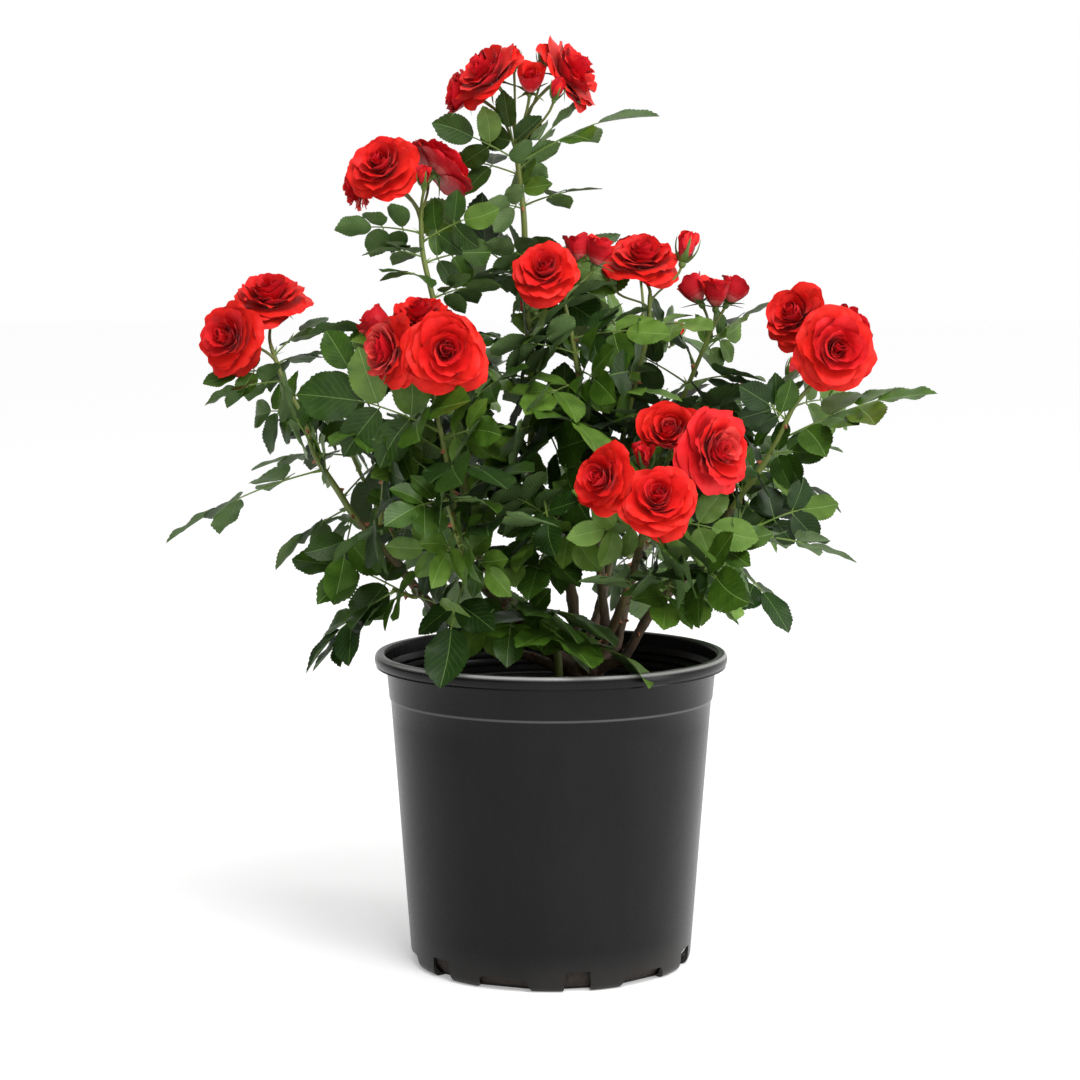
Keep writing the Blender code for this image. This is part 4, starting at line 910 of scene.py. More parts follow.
# Where a leaf's rachis and leaflets go: the way, and each leaflet's root, direction, face and length
def leafPlan(foot, tip, leaflets, roll, rng):
    span = (tip - foot).length
    bend = foot.lerp(tip, 0.5) + up * (growth["arch"] * span)
    shares = [k / growth["rachisSteps"] for k in range(growth["rachisSteps"] + 1)]
    line = [foot.lerp(bend, s).lerp(bend.lerp(tip, s), s) for s in shares]
    low, high = growth["terminalSpan"]
    terminal = min(max(growth["terminalShare"][leaflets] * span, low), high)
    stalk = 1 - terminal / span
    out = Vector((tip.x, tip.y, 0)).normalized()
    hang = growth["leafHang"]
    droop = min(max((hang[1] - tip.z) / (hang[1] - hang[0]), 0.0), 1.0)
    lean, leanMore = growth["outLean"]
    sky = up + out * (lean + leanMore * droop) + growth["lightSide"]
    blades = []

    def frameAt(share):
        place, ahead = spot(line, share * stalk)
        face = Matrix.Rotation(math.radians(roll), 3, ahead) @ across(ahead, sky)
        return place, ahead, face

    places = growth["pairPlaces"][leaflets]
    least, more = growth["pairGrow"]
    for j, place in enumerate(places):
        place += rng.uniform(*leafSpread["pair"])
        for turn in (1, -1):
            middle, ahead, face = frameAt(place + rng.uniform(*leafSpread["side"]))
            angle = -turn * math.radians(blend(growth["pairTurns"], place) + rng.uniform(*leafSpread["turn"]))
            face = Matrix.Rotation(math.radians(rng.uniform(*leafSpread["roll"])), 3, ahead) @ face
            way = Matrix.Rotation(angle, 3, face) @ ahead - up * rng.uniform(*leafSpread["sideHang"])
            way = way.normalized()
            grow = least + more * (j + 1) / len(places)
            blades.append((middle, way, across(way, face), terminal * grow * rng.uniform(*leafSpread["size"])))
    middle, ahead, face = frameAt(1.0)
    way = (ahead - up * rng.uniform(*leafSpread["endHang"])).normalized()
    blades.append((middle, way, across(way, face), terminal))
    return [spot(line, stalk * s)[0] for s in shares], blades


# Of the ways that a leaf may take, the one with the most room; it stays out where even that one has too little
def setLeaf(foot, ends, leaflets, roll, seed, crown, heaps, most, sky):
    best = None
    for k, end in enumerate(ends):
        turned = roll + room["rolls"][k % len(room["rolls"])]
        plan = leafPlan(foot, end, leaflets, turned, random.Random(seed + k))
        cost = crown.cost(plan[1], sky)
        if best is None or cost < best[0]:
            best = (cost, plan)
    if best[0] > most:
        return False
    rachis, blades = best[1]
    crown.note(blades)
    rng = random.Random(seed + 1)
    low, high = growth["petiole"]
    more, footShare = growth["petioleFoot"]

    def radiusAt(s):
        return low + (high - low) * s + more * max(footShare - s, 0) / footShare

    heaps["twigs"].add(sweep(rachis, radiusAt, 5, stemSlots["petiole"]))
    stalk = growth["leafletStalk"]
    shade = rng.choices(topSlots, leafShares)[0]
    under = rng.choice(underSlots)
    for root, way, face, length in blades:
        short = [root] + [root + way * reach for reach in growth["stalkPoints"]]
        heaps["twigs"].add(sweep(short, lambda s: high, 4, stemSlots["petiole"]))
        leaf = rng.choice(leafletShapes)
        own = shade if rng.random() < growth["oneShade"] else rng.choices(topSlots, leafShares)[0]
        rib = ribSlots[0] if own in (1, 2, 4) else ribSlots[1]
        leaf = recoloured(leaf, {0: own + 100, 1: rib + 100, 2: under + 100})
        leaf["slots"] = leaf["slots"] - 100
        leaf["spots"] = leaf["spots"] + (0, 0, rng.random())
        heaps["leaves"].add(placed(leaf, (way.cross(face), way, face), root + way * stalk, length - stalk))
    ahead = (rachis[1] - rachis[0]).normalized()
    for turn in (1, -1):  # stipules
        way = (ahead + across(ahead, Vector((turn, 0.3, 0.2))) * 0.5).normalized()
        wing = across(way)
        axes = (way.cross(wing), way, wing)
        place = rachis[0] + way * growth["stipuleOff"]
        heaps["twigs"].add(placed(stipule, axes, place, growth["stipule"]))
    return True


# Wood: the root stock and the canes as one grown piece with bark relief
soilTop = 0.200
wood = {
    "voxel": 0.0010, "rings": 110, "stockRadii": (0.0165, 0.0150, 0.0190), "knobs": (0.30, 0.10),
    "footRadii": (0.0185, 0.012), "footDepth": 0.024, "footSunk": 0.010, "furrow": 0.00045,
    "furrows": (420, 420, 120), "grain": 0.0002, "oldUpTo": (0.30, 0.14), "nodeEvery": 0.034,
    "nodeSwell": 0.14, "nodeHalf": 0.0035, "seatSwell": (1.04, 0.5, 7),
    "firstNode": (0.3, 0.7), "nodeSpread": (0.7, 1.3), "spurSunk": 0.0015, "spurTaper": (1.75, 0.6, 0.6),
}
barkFinish = {
    "old": {"tones": ((46, 34, 23), (92, 70, 46)), "scale": 110.0, "grain": 700.0, "rough": (0.62, 0.8),
            "stretch": (1.0, 1.0, 0.35)},
    "young": {"tones": ((72, 74, 34), (116, 112, 58)), "scale": 90.0, "grain": 500.0, "rough": (0.45, 0.62),
              "stretch": (1.0, 1.0, 0.3)},
    "greens": (0.32, 0.45),  # heights where old bark gives way to young
    "patches": 0.12,  # how far those heights stray
    "patchNoise": (45.0, 2.0), "relief": 0.5, "reliefDepth": 0.0006,
}


def barkLook():
    made, tree, shader = newMaterial("roseBark")
    old = useMottle(tree, **barkFinish["old"])
    young = useMottle(tree, **barkFinish["young"])
    where = objectPlace(tree)
    split = addNode(tree, "ShaderNodeSeparateXYZ", {0: where}).outputs
    patches = noiseMask(tree, where, *barkFinish["patchNoise"])
    height = maths(tree, "MULTIPLY_ADD", patches, barkFinish["patches"], split["Z"])
    green = ranged(tree, height, *barkFinish["greens"])
    colour = mixedColours(tree, green, old["Color"], young["Color"])
    rough = mixedValues(tree, green, old["Roughness"], young["Roughness"])
    dress(tree, shader, colour, rough, old["Height"], barkFinish["relief"], barkFinish["reliefDepth"])
    return made


def swollen(line, radii, seed):
    whole = lengthOf(line)
    rng = random.Random(seed)
    nodes = [rng.uniform(*wood["firstNode"]) * wood["nodeEvery"]]
    while nodes[-1] < whole:
        nodes.append(nodes[-1] + wood["nodeEvery"] * rng.uniform(*wood["nodeSpread"]))

    def radiusAt(share):
        swell = sum(math.exp(-(((share * whole - node) / wood["nodeHalf"]) ** 2)) for node in nodes)
        return blend(radii, share) * (1 + wood["nodeSwell"] * swell)

    return radiusAt


# Every limb is a bevelled curve; with the knobby stock they are meshed anew as one skin that closes the forks
def makeWood(lines, limbRadii, spurs):
    curve = bpy.data.curves.new("limbs", "CURVE")
    curve.dimensions = "3D"
    curve.bevel_depth = 1.0
    curve.bevel_resolution = 3
    curve.use_fill_caps = True

    def addLimb(line, radiusAt):
        spline = curve.splines.new("POLY")
        spline.points.add(len(line) - 1)
        for k, point in enumerate(line):
            spline.points[k].co = (*point, 1)
            spline.points[k].radius = radiusAt(k / (len(line) - 1))

    footShare, footSwell, fade = wood["seatSwell"]
    for k, name in enumerate(canes):
        foot, tip = limbRadii[name]
        line = smoothWay([stockMiddle] + lines[name], wood["rings"])
        radiusAt = swollen(line, (foot * footShare, tip), k)
        addLimb(line, lambda s: radiusAt(s) * (1 + footSwell * max(1 - s * fade, 0)))
    thick, thinner, power = wood["spurTaper"]
    for (start, end), radius in spurs:
        inside = end + (end - start).normalized() * wood["spurSunk"]
        addLimb([start.lerp(inside, s / 5) for s in range(6)], lambda s: radius * (thick - thinner * s**power))
    holder = bpy.data.objects.new("limbs", curve)
    bpy.context.scene.collection.objects.link(holder)
    graph = bpy.context.evaluated_depsgraph_get()
    shape = bmesh.new()
    shape.from_mesh(holder.evaluated_get(graph).to_mesh())
    bpy.data.objects.remove(holder)
    lump = bmesh.ops.create_icosphere(shape, subdivisions=4, radius=1.0)["verts"]
    coarse, fine = wood["knobs"]
    for vert in lump:
        knob = 1 + coarse * noise.noise(vert.co * 2.3) + fine * noise.noise(vert.co * 6.0)
        vert.co = Vector([a * b * knob for a, b in zip(vert.co, wood["stockRadii"])]) + stockMiddle
    wide, narrow = wood["footRadii"]
    foot = bmesh.ops.create_cone(shape, cap_ends=True, segments=24, radius1=wide, radius2=narrow,
                                 depth=wood["footDepth"])["verts"]
    bmesh.ops.translate(shape, verts=foot, vec=(stockMiddle.x, stockMiddle.y, soilTop + wood["footSunk"]))
    piece = meshPiece("canes_and_stock", shape, [])
    remesh = piece.modifiers.new("Grow together", "REMESH")
    remesh.mode = "VOXEL"
    remesh.voxel_size = wood["voxel"]
    smooth = piece.modifiers.new("Soften", "SMOOTH")
    smooth.iterations = 3
    grown = settle(piece)
    moved = []
    oldTop, oldFade = wood["oldUpTo"]
    for vert in grown.vertices:
        at = vert.co.copy()
        old = 1 - min(max((at.z - oldTop) / oldFade, 0), 1)
        furrow = 1 - 2 * abs(noise.noise(Vector([a * b for a, b in zip(at, wood["furrows"])])))
        relief = wood["furrow"] * old * (furrow - 0.5) + wood["grain"] * noise.noise(at * 160)
        moved.extend(at + vert.normal * relief)
    grown.vertices.foreach_set("co", moved)
    grown.update()
    grown.materials.append(barkLook())
    grown.shade_smooth()
    finish(piece, "bark", ["root_stock", *canes])
    print("canes_and_stock", len(grown.polygons), "faces")


# Thorns and stipules
thorn = {"every": 0.021, "height": (0.0032, 0.0052), "base": 0.0014, "wide": 1.9, "hook": 0.55, "sunk": 0.85,
         "first": (0.3, 1.0), "spread": (0.5, 1.6)}


def thornShape():
    shape = bmesh.new()
    bmesh.ops.create_cone(shape, cap_ends=True, segments=6, radius1=1.0, radius2=0.04, depth=1.0)
    bmesh.ops.translate(shape, verts=shape.verts, vec=(0, 0, 0.4))
    for vert in shape.verts:
        flat = min(max(vert.co.z, 0), 1)
        vert.co.y = vert.co.y * thorn["wide"] * (1 - 0.5 * flat) - thorn["hook"] * flat * flat
    for face in shape.faces:
        face.material_index = stemSlots["thorn"]
    return arraysOf(shape)


def addThorns(line, radiusAt, rng, heap, upTo=0.97):
    proto = thornShape()
    whole = lengthOf(line)
    at = thorn["every"] * rng.uniform(*thorn["first"])
    turn = rng.uniform(0, math.tau)
    while at < whole * upTo:
        middle, ahead = spot(line, at / whole)
        side = Matrix.Rotation(turn, 3, ahead) @ across(ahead)
        height = rng.uniform(*thorn["height"])
        size = thorn["base"]
        axes = (ahead.cross(side) * size, ahead * size, side * height)
        heap.add(placed(proto, axes, middle + side * (radiusAt(at / whole) * thorn["sunk"])))
        at += thorn["every"] * rng.uniform(*thorn["spread"])
        turn += turnPerLeaf


def stipuleShape():
    shape = bmesh.new()
    bmesh.ops.create_cone(shape, cap_ends=True, segments=4, radius1=0.16, radius2=0.02, depth=1.0)
    bmesh.ops.rotate(shape, verts=shape.verts, matrix=Matrix.Rotation(math.radians(-90), 3, "X"))
    bmesh.ops.translate(shape, verts=shape.verts, vec=(0, 0.5, 0))
    bmesh.ops.scale(shape, verts=shape.verts, vec=(1, 1, 0.25))
    for face in shape.faces:
        face.material_index = stemSlots["petiole"]
    return arraysOf(shape)


# Pot: radii and heights of the wall, in metres
pot = {
    "rimRadius": 0.138, "rimHeight": 0.244, "lipDepth": 0.0105, "mouthRadius": 0.130,
    "bandTopRadius": 0.1288, "bandFootRadius": 0.1267, "bandFoot": 0.2090, "wallTopRadius": 0.1255,
    "wallFootRadius": 0.1105, "baseRadius": 0.1045, "cornerHeight": 0.007, "wall": 0.0022, "sides": 144,
    "ribs": 5, "ribPitch": 0.0060, "ribDepth": 0.0008, "ribHeight": 0.0036, "sharp": 32,
    "tallNotch": {"width": 0.023, "height": 0.016, "turn": 10.4},
    "wideNotch": {"width": 0.038, "height": 0.010, "turn": 40.4},
    "notchesEach": 6, "notchDepth": 0.013, "notchReach": 0.02,
}
potFinish = {
    "tones": ((9, 9, 10), (18, 18, 19)), "scale": 26.0, "grain": 1500.0, "rough": (0.24, 0.34),
    "stretch": (1.0, 1.0, 0.35), "specular": 0.15, "relief": 0.12, "reliefDepth": 0.0003,
    "dustTone": (96, 92, 86), "dustUpTo": 0.030, "dust": (0.02, 0.30), "dustRough": 0.4,
    "specks": (0.70, 0.78),
    # Painted highlight lines along the lip's edge and at the collar's foot: their tone, width, strengths and
    # places
    "highlightTone": (150, 150, 148), "highlightWidth": 0.0012, "lipStrength": 0.85, "collarStrength": 0.15,
    "lipInset": 0.0014, "lipBelow": (0.0035, 0.0015),
}


def arc(middle, radius, fromDeg, toDeg, count):
    return [
        (middle[0] + radius[0] * math.cos(math.radians(blend((fromDeg, toDeg), k / count))),
         middle[1] + radius[1] * math.sin(math.radians(blend((fromDeg, toDeg), k / count))))
        for k in range(count + 1)
    ]


# The outer radius of the wall at a height
def wallRadius(height):
    p = pot
    if height > p["bandFoot"]:
        share = (height - p["bandFoot"]) / (p["rimHeight"] - p["lipDepth"] - p["bandFoot"])
        return blend((p["bandFootRadius"], p["bandTopRadius"]), share)
    share = (height - p["cornerHeight"]) / (p["bandFoot"] - p["cornerHeight"])
    return blend((p["wallFootRadius"], p["wallTopRadius"]), share)


def potProfile():
    p = pot
    t, top, low = p["wall"], p["rimHeight"], p["rimHeight"] - p["lipDepth"]
    points = [(0.0, 0.0), (0.030, 0.0), (0.070, 0.0), (p["baseRadius"], 0.0)]
    corner = (p["wallFootRadius"] - p["baseRadius"], p["cornerHeight"])
    points += arc((p["baseRadius"], p["cornerHeight"]), corner, -80, 0, 6)
    foot, head = (p["wallFootRadius"], p["cornerHeight"]), (p["wallTopRadius"], p["bandFoot"] - 0.0022)
    points += [(blend((foot[0], head[0]), s / 12), blend((foot[1], head[1]), s / 12)) for s in range(1, 13)]
    points += [(p["bandFootRadius"] - 0.0002, p["bandFoot"] - 0.0006)]
    points += [(p["bandFootRadius"], p["bandFoot"] + 0.0004)]
    points += [(p["bandTopRadius"], low - 0.0012), (p["bandTopRadius"] + 0.0008, low)]
    points += [(p["rimRadius"] - 0.0012, low)]
    points += arc((p["rimRadius"] - 0.0030, top - 0.0050), (0.0030, 0.0050), -60, 88, 9)
    points += [((p["rimRadius"] + p["mouthRadius"]) / 2, top - 0.0001)]
    points += arc((p["mouthRadius"] + 0.0022, top - 0.0032), (0.0026, 0.0030), 95, 178, 6)
    points += [(p["mouthRadius"] - 0.0014, low)]
    high = p["ribHeight"]
    for k in range(p["ribs"]):
        z = low - 0.003 - k * p["ribPitch"]
        radius = wallRadius(z - high) - t
        inner = radius - p["ribDepth"]
        points += [(radius, z), (inner, z - high / 3), (inner, z - high * 2 / 3), (radius, z - high)]
    points += [(p["wallFootRadius"] - t, p["cornerHeight"] + 0.001),
               (p["baseRadius"] - 0.001, t), (0.060, t), (0.0, t)]
    return points


def notchCutter(name, notch, k):
    half, high = notch["width"] / 2, notch["height"]
    if high > notch["width"] / 3:
        outline = [(-half, -0.01), (half, -0.01), (half * 0.8, high), (-half * 0.8, high)]
    else:
        outline = [(-half - 0.006, -0.01), (half + 0.006, -0.01), (half + 0.003, 0), (half, high * 0.8)]
        outline += [(half - 0.002, high)]
        outline += [(-x, z) for x, z in reversed(outline[2:])]
    shape = bmesh.new()
    inner, outer = pot["wallFootRadius"] - pot["notchDepth"], pot["wallFootRadius"] + pot["notchReach"]
    face = shape.faces.new([shape.verts.new((inner, x, z)) for x, z in outline])
    grown = bmesh.ops.extrude_face_region(shape, geom=[face], use_keep_orig=True)["geom"]
    bmesh.ops.translate(shape, verts=ofKind(grown, bmesh.types.BMVert), vec=(outer - inner, 0, 0))
    bmesh.ops.recalc_face_normals(shape, faces=shape.faces)
    turn = Matrix.Rotation(math.radians(notch["turn"] + 60 * k - 90), 3, "Z")
    bmesh.ops.rotate(shape, verts=shape.verts, matrix=turn)
    return meshPiece(name, shape, [])


# A thin painted highlight line where a value passes a place
def paintedHighlightLine(tree, value, place, strength):
    far = maths(tree, "ABSOLUTE", maths(tree, "SUBTRACT", value, place))
    width = potFinish["highlightWidth"]
    return ranged(tree, far, width / 3, width, strength, 0.0)


def potLook():
    look = potFinish
    made, tree, shader = newMaterial("blackPlastic", Specular_IOR_Level=look["specular"])
    effect = useMottle(tree, look["tones"], look["scale"], look["grain"], look["rough"], look["stretch"])
    where = objectPlace(tree)
    split = addNode(tree, "ShaderNodeSeparateXYZ", {0: where}).outputs
    dustAndHighlightNoise = noiseMask(tree, where, 14.0, 4.0)
    speck = ranged(tree, noiseMask(tree, where, 900.0, 1.0), *look["specks"])
    low = ranged(tree, split["Z"], look["dustUpTo"], 0.0, *look["dust"])
    dust = maths(tree, "MULTIPLY", dustAndHighlightNoise, low)
    dirt = maths(tree, "MULTIPLY_ADD", dust, speck, dust)
    colour = mixedColours(tree, dirt, effect["Color"], tone(*look["dustTone"]))
    # Painted highlights: thin light lines along the lip's edge and at the collar's foot, made stronger where
    # the dust noise is high
    flat = addNode(tree, "ShaderNodeCombineXYZ", {0: split["X"], 1: split["Y"]}).outputs[0]
    radius = addNode(tree, "ShaderNodeVectorMath", {0: flat}, operation="LENGTH").outputs["Value"]
    atTop = ranged(tree, split["Z"], *(pot["rimHeight"] - below for below in look["lipBelow"]))
    lip = paintedHighlightLine(tree, radius, pot["rimRadius"] - look["lipInset"], look["lipStrength"])
    collar = paintedHighlightLine(tree, split["Z"], pot["bandFoot"], look["collarStrength"])
    lines = maths(tree, "ADD", maths(tree, "MULTIPLY", lip, atTop), collar)
    highlightMask = maths(tree, "MULTIPLY_ADD", lines, dustAndHighlightNoise, lines, clamp=True)
    highlighted = mixedColours(tree, highlightMask, colour, tone(*look["highlightTone"]))
    rough = maths(tree, "MULTIPLY_ADD", dirt, look["dustRough"], effect["Roughness"])
    dress(tree, shader, highlighted, rough, effect["Height"], look["relief"], look["reliefDepth"])
    return made


def spunShape(profile, sides):
    shape = bmesh.new()
    ring = [shape.verts.new((radius, 0, height)) for radius, height in profile]
    edges = [shape.edges.new(pair) for pair in zip(ring, ring[1:])]
    bmesh.ops.spin(shape, geom=ring + edges, axis=(0, 0, 1), cent=(0, 0, 0), steps=sides, angle=math.tau,
                   use_merge=True)
    bmesh.ops.remove_doubles(shape, verts=shape.verts, dist=0.00002)
    bmesh.ops.recalc_face_normals(shape, faces=shape.faces)
    return shape


def makePot():
    piece = meshPiece("pot_wall", spunShape(potProfile(), pot["sides"]), [potLook()])
    cutters = bpy.data.collections.new("notches")
    for k in range(pot["notchesEach"]):
        for kind in ("tallNotch", "wideNotch"):
            cutter = notchCutter(f"notch_{kind}_{k}", pot[kind], k)
            cutters.objects.link(cutter)
    cut = piece.modifiers.new("Notches", "BOOLEAN")
    cut.operation = "DIFFERENCE"
    cut.operand_type = "COLLECTION"
    cut.collection = cutters
    mesh = settle(piece)
    mesh.shade_smooth()
    mesh.set_sharp_from_angle(angle=math.radians(pot["sharp"]))
    for cutter in list(cutters.objects):
        bpy.data.objects.remove(cutter)
    bpy.data.collections.remove(cutters)
    finish(piece, "pot", ["pot"])
    print("pot_wall", len(mesh.polygons), "faces")


# Soil with a coarse mulch
soil = {
    "bump": 0.0022, "chips": 1300, "chipLength": (0.005, 0.015), "chipWidth": (0.25, 0.5),
    "chipThickness": (0.001, 0.0024), "chipLift": 0.0028, "sunk": 0.0012, "rings": 26, "sides": 72,
    "chipTilts": (0.35, 0.5),
}
soilFinish = {"scale": 300, "grain": 1500, "rough": (0.85, 0.97), "relief": 0.6, "depth": 0.001}
mulchFinish = {"scale": 200, "grain": 900, "rough": (0.75, 0.9), "relief": 0.4, "depth": 0.0005}
soilTones = ((22, 17, 13), (46, 36, 28))
mulchTones = [((34, 24, 17), (64, 46, 32)), ((58, 38, 24), (100, 70, 46)), ((24, 18, 14), (46, 34, 26))]


def makeSoil():
    looks = [mottled("pottingMix", soilTones, **soilFinish)]
    looks += [mottled(f"mulch{k + 1}", pair, **mulchFinish) for k, pair in enumerate(mulchTones)]
    t = pot["wall"] + seatGap

    def inner(height):
        return wallRadius(height) - t

    edge = inner(soilTop - 0.004)
    profile = [(0.0, t), (pot["baseRadius"] - 0.004, t), (inner(0.012) - 0.001, 0.012)]
    profile += [(edge, soilTop - 0.005)]
    profile += [(edge * (1 - s / soil["rings"]), soilTop - soil["sunk"]) for s in range(soil["rings"] + 1)]
    shape = spunShape(profile, soil["sides"])
    for vert in shape.verts:
        if vert.co.z > soilTop - 0.003:
            rough = noise.noise(vert.co * 90) + 0.5 * noise.noise(vert.co * 240)
            vert.co.z += soil["bump"] * min(rough, 0.3) - 0.0006
    mixture = meshPiece("potting_mix", shape, looks[:1], 60)
    finish(mixture, "soil", ["soil"])
    print("potting_mix", len(mixture.data.polygons), "faces")
    chip = bmesh.new()
    bmesh.ops.create_cube(chip, size=1.0)
    long = [edge for edge in chip.edges if abs((edge.verts[0].co - edge.verts[1].co).x) > 0.5]
    bmesh.ops.subdivide_edges(chip, edges=long, cuts=2)
    for vert in chip.verts:
        end = 1 - 1.3 * vert.co.x * vert.co.x
        vert.co.y *= end * (1 + 0.3 * math.sin(7 * vert.co.x))
        vert.co.z = vert.co.z * end + 0.12 * vert.co.x
    proto = arraysOf(chip)
    heap = Heap("mulch", looks[1:], "soil", ["soil"])
    rng = random.Random(5)
    for _ in range(soil["chips"]):
        radius = (edge - 0.004) * math.sqrt(rng.random())
        angle = rng.uniform(0, math.tau)
        height = soilTop - soil["sunk"] + rng.uniform(0, soil["chipLift"])
        place = Vector((radius * math.cos(angle), radius * math.sin(angle), height))
        length = rng.uniform(*soil["chipLength"])
        tilt = Matrix.Rotation(rng.uniform(0, math.tau), 3, "Z")
        for most, axis in zip(soil["chipTilts"], "YX"):
            tilt = tilt @ Matrix.Rotation(rng.uniform(-most, most), 3, axis)
        wide, thick = rng.uniform(*soil["chipWidth"]), rng.uniform(*soil["chipThickness"])
        axes = (tilt.col[0] * length, tilt.col[1] * length * wide, tilt.col[2] * thick)
        heap.add(placed(recoloured(proto, {0: rng.randrange(len(mulchTones))}), axes, place))
    heap.make()


# Wood and growth by name, in metres
stockMiddle = Vector((0.024, 0.003, 0.224))

# Canes: the way that each one takes from its seat on the root stock, and its radii at foot and tip
canes = {
    "leader_cane": {
        "way": [(0.020, 0.005, 0.252), (0.016, 0.008, 0.290), (0.005, 0.012, 0.335),
                (-0.014, 0.018, 0.375), (-0.015, 0.020, 0.412)],
        "radii": (0.0048, 0.0034),
    },
    "left_inner_cane": {
        "way": [(0.000, -0.013, 0.246), (-0.036, -0.030, 0.284), (-0.062, -0.048, 0.315),
                (-0.065, -0.054, 0.358)],
        "radii": (0.0056, 0.0033),
    },
    "left_cane": {
        "way": [(-0.004, 0.006, 0.234), (-0.050, 0.000, 0.250), (-0.085, -0.012, 0.274),
                (-0.128, -0.025, 0.325), (-0.149, -0.030, 0.350)],
        "radii": (0.0042, 0.0030),
    },
    "centre_cane": {
        "way": [(0.039, 0.000, 0.250), (0.040, 0.000, 0.290), (0.036, -0.002, 0.340),
                (0.030, -0.005, 0.382)],
        "radii": (0.0042, 0.0030),
    },
    "right_cane": {
        "way": [(0.050, -0.010, 0.237), (0.078, -0.014, 0.276), (0.112, -0.022, 0.315),
                (0.140, -0.030, 0.360)],
        "radii": (0.0042, 0.0030),
    },
    "front_cane": {
        "way": [(0.030, -0.022, 0.238), (0.046, -0.050, 0.268), (0.058, -0.082, 0.305),
                (0.066, -0.110, 0.340)],
        "radii": (0.0042, 0.0029),
    },
    "back_right_cane": {
        "way": [(0.046, 0.018, 0.240), (0.058, 0.028, 0.272), (0.070, 0.034, 0.320),
                (0.085, 0.036, 0.378)],
        "radii": (0.0042, 0.0029),
    },
    "rear_right_cane": {
        "way": [(0.028, 0.030, 0.240), (0.040, 0.062, 0.272), (0.052, 0.105, 0.325),
                (0.062, 0.125, 0.370)],
        "radii": (0.0044, 0.0030),
    },
    "rear_left_cane": {
        "way": [(0.004, 0.024, 0.240), (-0.026, 0.052, 0.268), (-0.062, 0.090, 0.315),
                (-0.078, 0.112, 0.360)],
        "radii": (0.0044, 0.0030),
    },
}
